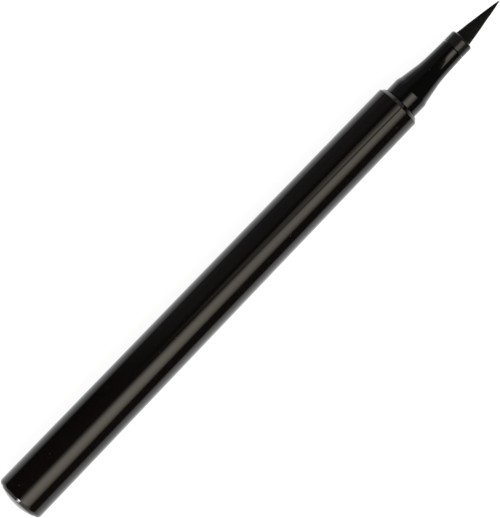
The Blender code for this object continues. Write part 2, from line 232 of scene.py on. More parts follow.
def tail_rim():
    """The large round edge at the barrel's tail, from the lip of the plug's seat out to the barrel's side."""
    size = TAIL_RIM_ROUND
    centre_radius = TAIL_RADIUS - size
    start = math.acos((PLUG_SEAT_LIP_RADIUS - centre_radius) / size)
    return arc(size, centre_radius, size, start + math.pi / 2, math.pi / 2, RIM_STEPS)


def barrel_profile():
    """From the plug's seat round the tail rim, along the side, over the mouth and back through the bore."""
    seat_rear = NOSE_REAR - END_GAP
    seat_radius = NOSE_RADIUS + PRESS_GAP
    return rounded((
        (PLUG_SEAT_DEPTH, BORE_TAIL_RADIUS, SHARP),
        (PLUG_SEAT_DEPTH, PLUG_RADIUS + PRESS_GAP, SHARP),
        (PLUG_SEAT_LIP_DEPTH, PLUG_RADIUS + PRESS_GAP, SHARP),
        *sharp(tail_rim()),
        (MOUTH - MOUTH_CHAMFER_LENGTH, MOUTH_RADIUS, SOFT),
        (MOUTH, MOUTH_LIP_RADIUS, 2 * FINE),
        (MOUTH, seat_radius, FINE),
        (seat_rear, seat_radius, SHARP),
        (seat_rear, BORE_FRONT_RADIUS, SHARP),
        (PLUG_SEAT_DEPTH, BORE_TAIL_RADIUS, SHARP),
    ))


def plug_dome():
    """The domed tail face: a small flat, then an arc out to the rim."""
    centre = (PLUG_RADIUS**2 - DOME_FLAT_RADIUS**2 - DOME_TOP**2) / (-2 * DOME_TOP)
    size = math.hypot(centre, PLUG_RADIUS)
    start = math.pi - math.asin(DOME_FLAT_RADIUS / size)
    end = math.pi - math.asin(PLUG_RADIUS / size)
    return [(DOME_TOP, 0.0), *arc(centre, 0.0, size, start, end, DOME_STEPS)]


def plug_profile():
    """The dome, the round rim of the head, and the hollow spigot with its bead."""
    face = [(place, radius) for place, radius in plug_dome() if radius < PLUG_RADIUS - PLUG_RIM_ROUND]
    bead_front = BEAD_REAR + BEAD_LENGTH
    bead_radius = PLUG_SPIGOT_RADIUS + BEAD_HEIGHT
    return rounded((
        *sharp(face),
        (0.0, PLUG_RADIUS, PLUG_RIM_ROUND),
        (PLUG_HEAD_DEPTH, PLUG_RADIUS, SMALL),
        (PLUG_HEAD_DEPTH, PLUG_SPIGOT_RADIUS, 2 * SMALL),
        (BEAD_REAR, PLUG_SPIGOT_RADIUS, 2 * SMALL),
        (BEAD_REAR + BEAD_SLOPE, bead_radius, 2 * SMALL),
        (bead_front - BEAD_SLOPE, bead_radius, 2 * SMALL),
        (bead_front, PLUG_SPIGOT_RADIUS, 2 * SMALL),
        (PLUG_FRONT, PLUG_SPIGOT_RADIUS, BROAD),
        (PLUG_FRONT, PLUG_BORE_RADIUS, 2 * SMALL),
        (PLUG_END_WALL, PLUG_BORE_RADIUS, 4 * SMALL),
        (PLUG_END_WALL, 0.0, SHARP),
    ))


def nose_blend(start):
    """The hollow curve from the cone into the neck, whose slope dies away like a flare."""
    length = NOSE_FRONT - start
    fall = CONE_END_RADIUS + NECK_SLOPE * length - NECK_END_RADIUS
    whole_share = 1 - math.exp(-length / FLARE_LENGTH)
    points = []
    for step in range(1, BLEND_STEPS):
        run = length * step / BLEND_STEPS
        share = (1 - math.exp(-run / FLARE_LENGTH)) / whole_share
        points.append((start + run, CONE_END_RADIUS + NECK_SLOPE * run - fall * share))
    return points


def nose_profile():
    """The spigot with its seal groove, the collar, the cone and the neck, then back through the bore."""
    seal_rear = NOSE_REAR + SEAL_GROOVE_SETBACK
    seal_front = seal_rear + SEAL_GROOVE_WIDTH
    seal_bottom = NOSE_RADIUS - SEAL_GROOVE_DEPTH
    mouth_groove = MOUTH + MOUTH_GROOVE_OFFSET
    collar_end = MOUTH + COLLAR_LENGTH
    shoulder_end = collar_end + SHOULDER_LENGTH
    cone_end = shoulder_end + CONE_LENGTH
    seat_radius = SPIGOT_RADIUS + PRESS_GAP
    bore_end = NOSE_REAR + NOSE_BORE_LENGTH
    corners = (
        (NOSE_REAR, NOSE_BORE_RADIUS, SHARP),
        (NOSE_REAR, NOSE_RADIUS, BROAD),
        (seal_rear, NOSE_RADIUS, 2 * CRISP),
        (seal_rear, seal_bottom, 2 * CRISP),
        (seal_front, seal_bottom, 2 * CRISP),
        (seal_front, NOSE_RADIUS, 2 * CRISP),
        (mouth_groove - MOUTH_GROOVE_DEPTH, NOSE_RADIUS, FINE),
        (mouth_groove, NOSE_RADIUS - MOUTH_GROOVE_DEPTH, SHARP),
        (mouth_groove + MOUTH_GROOVE_DEPTH, NOSE_RADIUS, FINE),
        (collar_end, NOSE_RADIUS, COLLAR_ROUND),
        (shoulder_end, NOSE_RADIUS - SHOULDER_DEPTH, SHOULDER_ROUND),
        (cone_end, CONE_END_RADIUS, SHARP),
        *sharp(nose_blend(cone_end)),
        (NOSE_FRONT, NECK_END_RADIUS, CRISP),
        (NOSE_FRONT, seat_radius, FINE),
        (bore_end + NOSE_BORE_TAPER_LENGTH, seat_radius, SHARP),
        (bore_end, NOSE_BORE_RADIUS, SHARP),
        (NOSE_REAR, NOSE_BORE_RADIUS, SHARP),
    )
    return rounded(corners, support=0.08)


def ring_profile():
    """The ring and the spigot that holds it in the nose, bored for the tip's shank and heel."""
    rear = NOSE_FRONT + RING_SEAM
    bore = SHANK_RADIUS + PRESS_GAP
    seat = RING_FRONT - HEEL_SEAT_DEPTH
    seat_radius = HEEL_RADIUS + HEEL_GAP
    corners = (
        (SPIGOT_REAR, bore, SHARP),
        (SPIGOT_REAR, SPIGOT_RADIUS, 2 * FINE),
        (rear, SPIGOT_RADIUS, CRISP),
        (rear, RING_RADIUS, CRISP),
        (RING_FRONT, RING_RADIUS, RING_ROUND),
        (RING_FRONT, seat_radius, 2 * FINE),
        (seat, seat_radius, FINE),
        (seat, bore, FINE),
        (SPIGOT_REAR, bore, SHARP),
    )
    return rounded(corners, support=0.06)


def tip_profile(radius, fullness):
    """The shank and heel inside the ring, then the point, which swells a little and ends on the axis."""
    heel = RING_FRONT - HEEL_SEAT_DEPTH + HEEL_GAP
    point = []
    for step in range(TIP_STEPS + 1):
        share = TIP_END_SHARE * (1 - (1 - step / TIP_STEPS) ** TIP_CROWDING)
        point.append((lerp(RING_FRONT, TIP_POINT, share), radius * (1 - share) ** fullness))
    return rounded((
        (SHANK_REAR, 0.0, SHARP),
        (SHANK_REAR, SHANK_RADIUS, SOFT),
        (heel, SHANK_RADIUS, FINE),
        (heel, HEEL_RADIUS, 2 * CRISP),
        *sharp(point),
        (TIP_POINT, 0.0, SHARP),
    ))


def tank_profile():
    rear, front, radius = span("ink_tank")
    bore, floor = radius - TANK_WALL, rear + TANK_END_WALL
    return rounded((
        (rear, 0.0, SHARP),
        (rear, radius, TANK_END_ROUND),
        (front, radius, SOFT),
        (front, bore, SOFT),
        (floor, bore, TANK_FLOOR_ROUND),
        (floor, 0.0, SHARP),
    ))


def wick_profile():
    rear, front, radius = span("feed_wick")
    side = ((rear, radius, WICK_ROUND), (front, radius, WICK_ROUND))
    return rounded(((rear, 0.0, SHARP), *side, (front, 0.0, SHARP)))


def seal_profile(node):
    """The round section of a rubber ring."""
    rear, front, radius = span(node)
    section = (front - rear) / 2
    return arc((rear + front) / 2, radius - section, section, 0.0, -2 * math.pi, CIRCLE_STEPS)


def ball_profile():
    """Half a circle from pole to pole, with both poles on the axis."""
    rear, front, radius = span("mixing_ball")
    side = arc((rear + front) / 2, 0.0, radius, math.pi, 0.0, CIRCLE_STEPS)[1:-1]
    return [(rear, 0.0), *side, (front, 0.0)]


# Node building


def put(tree, socket, value):
    """Links a socket to another, or sets its value."""
    if isinstance(value, bpy.types.NodeSocket):
        tree.links.new(value, socket)
    else:
        socket.default_value = value


def add(tree, kind, inputs=None, **settings):
    """Adds a node with its settings, and fills its inputs by name or number."""
    node = tree.nodes.new(kind)
    for key, value in settings.items():
        setattr(node, key, value)
    for key, value in (inputs or {}).items():
        put(tree, node.inputs[key], value)
    return node


def named(sockets, identifier):
    """The socket with an identifier, for nodes that hide sockets of the same name."""
    return next(socket for socket in sockets if socket.identifier == identifier)


def maths(tree, operation, *values):
    node = add(tree, "ShaderNodeMath", operation=operation)
    for index, value in enumerate(values):
        put(tree, node.inputs[index], value)
    return node.outputs[0]


def whole(tree, operation, *values):
    node = add(tree, "FunctionNodeIntegerMath", operation=operation)
    for index, value in enumerate(values):
        put(tree, node.inputs[index], value)
    return node.outputs[0]


def vectors(tree, operation, *values):
    node = add(tree, "ShaderNodeVectorMath", operation=operation)
    for index, value in enumerate(values):
        put(tree, node.inputs[index], value)
    return node.outputs[1 if operation in ("LENGTH", "DISTANCE", "DOT_PRODUCT") else 0]


def ramp(tree, value, low, high, low_result=0.0, high_result=1.0, smooth=True):
    """Maps a range of a value onto another, held at its ends."""
    settings = {"interpolation_type": "SMOOTHSTEP" if smooth else "LINEAR"}
    inputs = {"Value": value, "From Min": low, "From Max": high, "To Min": low_result, "To Max": high_result}
    return add(tree, "ShaderNodeMapRange", inputs, **settings).outputs["Result"]


def new_tree(name, kind, inputs, outputs):
    """A node group with named sockets, each given as (name, type) or (name, type, default)."""
    tree = bpy.data.node_groups.new(name, kind)
    for direction, sockets in (("INPUT", inputs), ("OUTPUT", outputs)):
        for socket_name, socket_type, *default in sockets:
            socket = tree.interface.new_socket(name=socket_name, in_out=direction, socket_type=socket_type)
            if default:
                socket.default_value = default[0]
    start, end = add(tree, "NodeGroupInput"), add(tree, "NodeGroupOutput")
    return tree, start.outputs, end


def turned_piece_tree():
    """Spins the profile that the object's own points give round the pen's axis, with a UV map."""
    tree, given, end = new_tree(
        "Turned Piece",
        "GeometryNodeTree",
        (
            ("Profile", "NodeSocketGeometry"),
            ("Sides", "NodeSocketInt"),
            ("Axis Height", "NodeSocketFloat"),
            ("Weld Distance", "NodeSocketFloat", WELD_DISTANCE),
            ("Finish", "NodeSocketMaterial"),
        ),
        (("Piece", "NodeSocketGeometry"),),
    )
    rows = add(tree, "GeometryNodeAttributeDomainSize", {"Geometry": given["Profile"]}).outputs["Point Count"]
    columns = whole(tree, "ADD", given["Sides"], 1)
    grid = add(tree, "GeometryNodeMeshGrid", {"Vertices X": rows, "Vertices Y": columns})
    index = add(tree, "GeometryNodeInputIndex").outputs[0]
    row = whole(tree, "DIVIDE_FLOOR", index, columns)
    column = whole(tree, "MODULO", index, columns)
    sampled = add(
        tree,
        "GeometryNodeSampleIndex",
        {"Geometry": given["Profile"], "Index": row},
        data_type="FLOAT_VECTOR",
    )
    tree.links.new(add(tree, "GeometryNodeInputPosition").outputs[0], sampled.inputs["Value"])
    profile = add(tree, "ShaderNodeSeparateXYZ", {0: sampled.outputs["Value"]}).outputs
    around = maths(tree, "DIVIDE", whole(tree, "MODULO", column, given["Sides"]), given["Sides"])
    angle = maths(tree, "MULTIPLY", around, 2 * math.pi)
    across = maths(tree, "MULTIPLY", profile["Y"], maths(tree, "SINE", angle))
    rise = maths(tree, "MULTIPLY_ADD", profile["Y"], maths(tree, "COSINE", angle), given["Axis Height"])
    place = add(tree, "ShaderNodeCombineXYZ", {"X": profile["X"], "Y": across, "Z": rise}).outputs[0]
    along = maths(tree, "DIVIDE", row, maths(tree, "SUBTRACT", rows, 1))
    uv = add(
        tree,
        "ShaderNodeCombineXYZ",
        {"X": maths(tree, "DIVIDE", column, given["Sides"]), "Y": along},
    ).outputs[0]
    stored = add(
        tree,
        "GeometryNodeStoreNamedAttribute",
        {"Geometry": grid.outputs["Mesh"], "Name": "UVMap"},
        data_type="FLOAT2",
        domain="CORNER",
    )
    tree.links.new(uv, stored.inputs["Value"])
    turned = add(tree, "GeometryNodeSetPosition", {"Geometry": stored.outputs[0], "Position": place})
    welded = add(
        tree,
        "GeometryNodeMergeByDistance",
        {"Geometry": turned.outputs[0], "Distance": given["Weld Distance"]},
    )
    return finish_tree(tree, welded.outputs[0], given["Finish"], end)


def finish_tree(tree, geometry, material, end):
    """Smooths the result of a tree and gives it its material."""
    smooth = add(tree, "GeometryNodeSetShadeSmooth", {"Geometry": geometry})
    real = add(tree, "GeometryNodeRealizeInstances", {"Geometry": smooth.outputs[0]})
    coated = add(tree, "GeometryNodeSetMaterial", {"Geometry": real.outputs[0], "Material": material})
    tree.links.new(coated.outputs[0], end.inputs[0])
    return tree


def fibre_tree():
    """Fine fibres along the felt point, each a thin tapered strand sunk in the surface at its ends."""
    tree, given, end = new_tree(
        "Felt Fibres",
        "GeometryNodeTree",
        (
            ("Points", "NodeSocketGeometry"),
            ("Count", "NodeSocketInt"),
            ("Base Place", "NodeSocketFloat"),
            ("Length", "NodeSocketFloat"),
            ("Base Radius", "NodeSocketFloat"),
            ("Fullness", "NodeSocketFloat"),
            ("Fibre Radius", "NodeSocketFloat"),
            ("Axis Height", "NodeSocketFloat"),
            ("Seed", "NodeSocketInt", FIBRE_SEED),
            ("Finish", "NodeSocketMaterial"),
        ),
        (("Fibres", "NodeSocketGeometry"),),
    )
    roots = add(tree, "GeometryNodePoints", {"Count": given["Count"]})
    strand = add(tree, "GeometryNodeCurvePrimitiveLine", {"End": (1.0, 0.0, 0.0)})
    strand = add(tree, "GeometryNodeResampleCurve", {"Curve": strand.outputs[0], "Count": STRAND_POINTS})
    captured = add(tree, "GeometryNodeCaptureAttribute", {"Geometry": roots.outputs[0]})
    captured.domain = "POINT"
    captured.capture_items.new("INT", "Strand")
    tree.links.new(add(tree, "GeometryNodeInputIndex").outputs[0], captured.inputs["Strand"])
    placed = add(
        tree,
        "GeometryNodeInstanceOnPoints",
        {"Points": captured.outputs["Geometry"], "Instance": strand.outputs[0]},
    )
    real = add(tree, "GeometryNodeRealizeInstances", {"Geometry": placed.outputs[0]})
    number = captured.outputs["Strand"]
    along = add(tree, "GeometryNodeSplineParameter").outputs["Factor"]

    def chance(low, high, shift):
        node = add(tree, "FunctionNodeRandomValue", {"ID": number}, data_type="FLOAT")
        put(tree, named(node.inputs, "Min_001"), low)
        put(tree, named(node.inputs, "Max_001"), high)
        put(tree, node.inputs["Seed"], whole(tree, "ADD", given["Seed"], shift))
        return named(node.outputs, "Value_001")

    reach = chance(*FIBRE_REACH_SHARES, 1)
    start = chance(*FIBRE_START_SHARES, 2)
    share = maths(tree, "MINIMUM", maths(tree, "MULTIPLY_ADD", along, reach, start), FIBRE_LAST_SHARE)
    share = maths(tree, "MAXIMUM", share, 0.0)
    full = maths(tree, "POWER", maths(tree, "SUBTRACT", 1.0, share), given["Fullness"])
    arch = maths(tree, "SINE", maths(tree, "MULTIPLY", along, math.pi))
    lift = maths(tree, "MULTIPLY", maths(tree, "SUBTRACT", arch, FIBRE_SINK_SHARE), given["Fibre Radius"])
    radius = maths(tree, "MULTIPLY_ADD", full, given["Base Radius"], lift)
    drift = chance(-FIBRE_WANDER, FIBRE_WANDER, 3)
    wander = maths(tree, "MULTIPLY", maths(tree, "SUBTRACT", along, 0.5), drift)
    turn = maths(tree, "MULTIPLY", maths(tree, "DIVIDE", number, given["Count"]), 2 * math.pi)
    angle = maths(tree, "ADD", maths(tree, "ADD", turn, wander), chance(-FIBRE_JITTER, FIBRE_JITTER, 4))
    across = maths(tree, "MULTIPLY", radius, maths(tree, "SINE", angle))
    rise = maths(tree, "MULTIPLY_ADD", radius, maths(tree, "COSINE", angle), given["Axis Height"])
    ahead = maths(tree, "MULTIPLY_ADD", share, given["Length"], given["Base Place"])
    place = add(tree, "ShaderNodeCombineXYZ", {"X": ahead, "Y": across, "Z": rise}).outputs[0]
    laid = add(tree, "GeometryNodeSetPosition", {"Geometry": real.outputs[0], "Position": place})
    section = add(
        tree,
        "GeometryNodeCurvePrimitiveCircle",
        {"Resolution": STRAND_SIDES, "Radius": given["Fibre Radius"]},
    )
    taper = maths(tree, "MULTIPLY_ADD", arch, 1 - FIBRE_END_SHARE, FIBRE_END_SHARE)
    tube = add(
        tree,
        "GeometryNodeCurveToMesh",
        {"Curve": laid.outputs[0], "Profile Curve": section.outputs[0], "Scale": taper, "Fill Caps": True},
    )
    return finish_tree(tree, tube.outputs[0], given["Finish"], end)


# Shared surface effects


def noise(tree, vector, scale, detail, roughness=0.5):
    inputs = {"Vector": vector, "Scale": scale, "Detail": detail, "Roughness": roughness}
    return add(tree, "ShaderNodeTexNoise", inputs).outputs["Fac"]


def moulded_skin_group():
    """The faint ripple and pitting of moulded plastic, as a height, and its uneven sheen, as a value."""
    tree, given, end = new_tree(
        "Moulded Skin",
        "ShaderNodeTree",
        (
            ("Vector", "NodeSocketVector"),
            ("Ripple Scale", "NodeSocketFloat", 700.0),
            ("Pit Scale", "NodeSocketFloat", 9000.0),
            ("Pit Depth", "NodeSocketFloat", 0.12),
            ("Patch Scale", "NodeSocketFloat", 180.0),
        ),
        (("Height", "NodeSocketFloat"), ("Sheen", "NodeSocketFloat")),
    )
    ripple = noise(tree, given["Vector"], given["Ripple Scale"], 2.0)
    pits = noise(tree, given["Vector"], given["Pit Scale"], 1.0)
    patches = noise(tree, given["Vector"], given["Patch Scale"], 3.0)
    put(tree, end.inputs["Height"], maths(tree, "MULTIPLY_ADD", pits, given["Pit Depth"], ripple))
    put(tree, end.inputs["Sheen"], ramp(tree, patches, 0.3, 0.7))
    return tree


def hairline_group():
    """Fine hairlines from handling, as a mask. Stretch sets how long they run along each axis."""
    tree, given, end = new_tree(
        "Hairlines",
        "ShaderNodeTree",
        (
            ("Vector", "NodeSocketVector"),
            ("Stretch", "NodeSocketVector", (300.0, 5000.0, 5000.0)),
            ("Amount", "NodeSocketFloat", 0.05),
            ("Patch Scale", "NodeSocketFloat", 260.0),
        ),
        (("Mask", "NodeSocketFloat"),),
    )
    stretched = vectors(tree, "MULTIPLY", given["Vector"], given["Stretch"])
    off = maths(tree, "ABSOLUTE", maths(tree, "SUBTRACT", noise(tree, stretched, 1.0, 1.0), 0.5))
    lines = ramp(tree, off, given["Amount"], 0.0)
    patches = ramp(tree, noise(tree, given["Vector"], given["Patch Scale"], 2.0), 0.5, 0.68)
    put(tree, end.inputs["Mask"], maths(tree, "MULTIPLY", lines, patches))
    return tree


def dust_group():
    """Sparse specks of dust, as a mask. A speck's size is a share of the cell that it lies in."""
    tree, given, end = new_tree(
        "Dust Specks",
        "ShaderNodeTree",
        (
            ("Vector", "NodeSocketVector"),
            ("Scale", "NodeSocketFloat", 1500.0),
            ("Amount", "NodeSocketFloat", 0.1),
            ("Least Size", "NodeSocketFloat", 0.04),
            ("Size Range", "NodeSocketFloat", 0.14),
        ),
        (("Mask", "NodeSocketFloat"),),
    )
    cells = add(tree, "ShaderNodeTexVoronoi", {"Vector": given["Vector"], "Scale": given["Scale"]})
    pick = add(tree, "ShaderNodeSeparateColor", {"Color": cells.outputs["Color"]})
    chosen = maths(tree, "LESS_THAN", pick.outputs["Red"], given["Amount"])
    size = maths(tree, "MULTIPLY_ADD", pick.outputs["Green"], given["Size Range"], given["Least Size"])
    speck = maths(tree, "LESS_THAN", cells.outputs["Distance"], size)
    put(tree, end.inputs["Mask"], maths(tree, "MULTIPLY", chosen, speck))
    return tree


def fibre_grain_group():
    """Bundled fibres running along the pen, as a height and as a mottled value."""
    tree, given, end = new_tree(
        "Fibre Grain",
        "ShaderNodeTree",
        (
            ("Vector", "NodeSocketVector"),
            ("Along", "NodeSocketFloat", 900.0),
            ("Across", "NodeSocketFloat", 14000.0),
            ("Speck Scale", "NodeSocketFloat", 5200.0),
            ("Speck Height", "NodeSocketFloat", 0.5),
        ),
        (("Height", "NodeSocketFloat"), ("Mottle", "NodeSocketFloat")),
    )
    scales = {"X": given["Along"], "Y": given["Across"], "Z": given["Across"]}
    stretch = add(tree, "ShaderNodeCombineXYZ", scales).outputs[0]
    stretched = vectors(tree, "MULTIPLY", given["Vector"], stretch)
    strands = noise(tree, stretched, 1.0, 3.0, 0.6)
    specks = noise(tree, given["Vector"], given["Speck Scale"], 3.0, 0.7)
    mottle = maths(tree, "MULTIPLY", strands, specks)
    put(tree, end.inputs["Height"], maths(tree, "MULTIPLY_ADD", specks, given["Speck Height"], strands))
    put(tree, end.inputs["Mottle"], ramp(tree, mottle, 0.14, 0.4))
    return tree


# The weld band, in degrees round the pen. Each pair is what a millimetre along the pen adds, and the value at
# the line's place
BAND_REAR_ANGLE = (0.19, 4.6)
BAND_FRONT_ANGLE = (0.35, 5.7)
BAND_WIDTH = (0.14, 10.9)
BAND_SPREAD = (0.035, 0.65)

# The least spread, the soft edges and the dip, which grows with each millimetre along the pen
BAND_LEAST_SPREAD = 0.12
BAND_MIDDLE = 4.0
BAND_EDGE = 0.8
LINE_EDGE = 1.4
DIP_GROWTH = 0.35
LEAST_DIP = 2.2
DIP_RISES = ((-2.8, -1.0), (3.6, 0.9))


def weld_band_group():
    """The flatter band beside the weld line of a moulded tube, as a tilt of the surface round the pen.

    The line drifts round the tube, with a narrow dip along it. Angles are degrees from the top towards -Y,
    and the band's own angle is twice that of its surface, as its gloss shows it.
    """
    tree, given, end = new_tree(
        "Weld Band",
        "ShaderNodeTree",
        (
            ("Vector", "NodeSocketVector"),
            ("Start", "NodeSocketFloat", TAIL + 0.02),
            ("End", "NodeSocketFloat", TAIL + 0.036),
            ("Line Place", "NodeSocketFloat", TAIL + 0.0741),
            ("Line Angle", "NodeSocketFloat", 4.2),
            ("Line Drift", "NodeSocketFloat", 0.15),
            ("Dip", "NodeSocketFloat", 5.5),
        ),
        (("Tilt", "NodeSocketFloat"),),
    )
    place = add(tree, "ShaderNodeSeparateXYZ", {0: given["Vector"]}).outputs
    height = maths(tree, "SUBTRACT", place["Z"], AXIS_HEIGHT)
    angle = maths(tree, "DEGREES", maths(tree, "ARCTAN2", maths(tree, "MULTIPLY", place["Y"], -1.0), height))
    along = maths(tree, "DIVIDE", maths(tree, "SUBTRACT", place["X"], given["Line Place"]), MM)
    line_angle = maths(tree, "MULTIPLY_ADD", along, given["Line Drift"], given["Line Angle"])
    off = maths(tree, "SUBTRACT", angle, line_angle)
    rear = maths(tree, "MULTIPLY_ADD", along, *BAND_REAR_ANGLE)
    front = maths(tree, "MULTIPLY_ADD", along, *BAND_FRONT_ANGLE)
    spread = maths(tree, "MAXIMUM", maths(tree, "MULTIPLY_ADD", along, *BAND_SPREAD), BAND_LEAST_SPREAD)
    middle = maths(tree, "MAXIMUM", rear, front)
    shown = maths(tree, "MULTIPLY_ADD", maths(tree, "ADD", off, BAND_MIDDLE), spread, middle)
    lean = maths(tree, "SUBTRACT", maths(tree, "MULTIPLY", shown, 0.5), angle)
    left = maths(tree, "ADD", off, maths(tree, "MULTIPLY_ADD", along, *BAND_WIDTH))
    left_edge = ramp(tree, left, -BAND_EDGE, BAND_EDGE)
    band = maths(tree, "MULTIPLY", left_edge, ramp(tree, off, LINE_EDGE, -LINE_EDGE))
    deep = maths(tree, "MAXIMUM", maths(tree, "MULTIPLY_ADD", along, DIP_GROWTH, given["Dip"]), LEAST_DIP)
    seam = maths(tree, "MULTIPLY", *(ramp(tree, off, *rise) for rise in DIP_RISES))
    dip = maths(tree, "MULTIPLY", maths(tree, "MULTIPLY", deep, seam), 0.5)
    tilt = maths(tree, "SUBTRACT", maths(tree, "MULTIPLY", lean, band), dip)
    share = ramp(tree, place["X"], given["Start"], given["End"])
    put(tree, end.inputs["Tilt"], maths(tree, "RADIANS", maths(tree, "MULTIPLY", tilt, share)))
    return tree


# Materials

SHARED = {}


def shared(name, build):
    """A node group or material that is made once and used again."""
    if name not in SHARED:
        SHARED[name] = build()
    return SHARED[name]


def effect(tree, name, build, places, values=None):
    """Places a shared effect with a material's own values."""
    node = add(tree, "ShaderNodeGroup", {"Vector": places, **(values or {})}, node_tree=shared(name, build))
    return node.outputs


def new_material(name):
    material = bpy.data.materials.new(name)
    material.use_nodes = True
    tree = material.node_tree
    shader = tree.nodes["Principled BSDF"]
    places = add(tree, "ShaderNodeTexCoord").outputs["Object"]
    return material, tree, shader, places


def set_looks(tree, shader, colour, roughness, settings=None):
    """Fills a shader's colour and roughness, and the settings that are the same all over."""
    put(tree, shader.inputs["Base Color"], colour)
    put(tree, shader.inputs["Roughness"], roughness)
    for name, value in (settings or {}).items():
        shader.inputs[name].default_value = value


def blend_colour(tree, share, first, second):
    node = add(tree, "ShaderNodeMix", data_type="RGBA")
    put(tree, node.inputs["Factor"], share)
    for name, colour in (("A_Color", first), ("B_Color", second)):
        linked = isinstance(colour, bpy.types.NodeSocket)
        put(tree, named(node.inputs, name), colour if linked else (*colour, 1.0))
    return named(node.outputs, "Result_Color")


def bump(tree, shader, height, distance, strength=1.0):
    """Bumps a shader's surface, and gives the bumped normal."""
    node = add(tree, "ShaderNodeBump", {"Height": height, "Distance": distance, "Strength": strength})
    tree.links.new(node.outputs[0], shader.inputs["Normal"])
    return node.outputs[0]


def leaned_normal(tree, places, normal, tilt):
    """Leans a normal round the pen's axis by a small tilt, towards -Y on the top."""
    place = add(tree, "ShaderNodeSeparateXYZ", {0: places}).outputs
    height = maths(tree, "SUBTRACT", place["Z"], AXIS_HEIGHT)
    down = maths(tree, "MULTIPLY", height, -1.0)
    across = add(tree, "ShaderNodeCombineXYZ", {"Y": down, "Z": place["Y"]}).outputs[0]
    in_world = add(
        tree,
        "ShaderNodeVectorTransform",
        {"Vector": vectors(tree, "NORMALIZE", across)},
        vector_type="NORMAL",
        convert_from="OBJECT",
        convert_to="WORLD",
    )
    lean = add(tree, "ShaderNodeVectorMath", {0: in_world.outputs[0], "Scale": tilt}, operation="SCALE")
    return vectors(tree, "NORMALIZE", vectors(tree, "ADD", normal, lean.outputs[0]))


def finishes():
    return bpy.context.scene.eyeliner_finishes


HAIRLINES_ALONG = (300.0, 5000.0, 5000.0)
HAIRLINES_ROUND = (9000.0, 500.0, 500.0)
HAIRLINE_AMOUNT = 0.012
HAIRLINE_COVER = 0.5
HAIRLINE_DULLNESS = 0.12
HAIRLINE_COLOUR = (0.012, 0.0115, 0.011)
DUST_AMOUNT = 0.035
DUST_COVER = 0.6
DUST_DULLNESS = 0.4
DUST_COLOUR = (0.05, 0.048, 0.045)
SHEEN_CHANGE = 0.02


def gloss_black(name, colour, roughness, ripple, weld=False, rubbed=False):
    """Black moulded plastic: a deep gloss with a faint ripple, hairlines and a little dust.

    Hairlines run along the pen, or round it where something is pushed over the piece again and again.
    """
    material, tree, shader, places = new_material(name)
    skin = effect(tree, "Moulded Skin", moulded_skin_group, places)
    stretch = HAIRLINES_ROUND if rubbed else HAIRLINES_ALONG
    lines = effect(tree, "Hairlines", hairline_group, places, {"Stretch": stretch, "Amount": HAIRLINE_AMOUNT})
    dust = effect(tree, "Dust Specks", dust_group, places, {"Amount": DUST_AMOUNT})
    marks = maths(tree, "MULTIPLY", lines["Mask"], HAIRLINE_COVER)
    marked = blend_colour(tree, marks, colour, HAIRLINE_COLOUR)
    dusty = blend_colour(tree, maths(tree, "MULTIPLY", dust["Mask"], DUST_COVER), marked, DUST_COLOUR)
    dullness = maths(tree, "MULTIPLY_ADD", skin["Sheen"], SHEEN_CHANGE, roughness)
    dullness = maths(tree, "MULTIPLY_ADD", lines["Mask"], HAIRLINE_DULLNESS, dullness)
    dullness = maths(tree, "MULTIPLY_ADD", dust["Mask"], DUST_DULLNESS, dullness)
    set_looks(tree, shader, dusty, dullness)
    normal = bump(tree, shader, skin["Height"], ripple)
    if weld:
        tilt = effect(tree, "Weld Band", weld_band_group, places)["Tilt"]
        put(tree, shader.inputs["Normal"], leaned_normal(tree, places, normal, tilt))
    return material


BARREL_RIPPLE = 0.0000012
NOSE_RIPPLE = 0.000001
RING_RIPPLE = 0.000003
NOSE_ROUGHNESS = 0.03
RING_ROUGHNESS = 0.18
RING_PALENESS = 3.4


def barrel_black():
    look = finishes()
    colour = tuple(look.barrel_colour)
    return gloss_black("barrel_black", colour, look.barrel_roughness, BARREL_RIPPLE, weld=True)


def nose_black():
    colour = tuple(finishes().nose_colour)
    return gloss_black("nose_black", colour, NOSE_ROUGHNESS, NOSE_RIPPLE, rubbed=True)


def ring_black():
    """The ring is a little paler and duller than the nose."""
    colour = tuple(value * RING_PALENESS for value in finishes().nose_colour)
    return gloss_black("ring_black", colour, RING_ROUGHNESS, RING_RIPPLE)


FELT_MATTE = {"Specular IOR Level": 0.25, "Sheen Weight": 0.2, "Sheen Roughness": 0.35}
FELT_ROUGHNESS = 0.94
FELT_GLOSS_IN_MOTTLE = -0.12
FELT_DEPTH = 0.00003
FELT_RELIEF = 0.8
TIP_PALE = (0.0055, 0.0055, 0.0055)
TIP_GRAIN = {"Along": 900.0, "Across": 14000.0}
WICK_DARK = (0.012, 0.012, 0.013)
WICK_PALE = (0.035, 0.035, 0.038)
WICK_GRAIN = {"Along": 700.0, "Across": 11000.0}


def felt_material(name, dark, pale, grain_scales):
    """Ink-soaked fibres: matte, mottled and grained along the pen."""
    material, tree, shader, places = new_material(name)
    grain = effect(tree, "Fibre Grain", fibre_grain_group, places, grain_scales)
    colour = blend_colour(tree, grain["Mottle"], dark, pale)
    roughness = maths(tree, "MULTIPLY_ADD", grain["Mottle"], FELT_GLOSS_IN_MOTTLE, FELT_ROUGHNESS)
    set_looks(tree, shader, colour, roughness, FELT_MATTE)
    bump(tree, shader, grain["Height"], FELT_DEPTH, FELT_RELIEF)
    return material


def inked_felt():
    return felt_material("inked_felt", tuple(finishes().felt_colour), TIP_PALE, TIP_GRAIN)


def inked_fibre():
    return felt_material("inked_fibre", WICK_DARK, WICK_PALE, WICK_GRAIN)


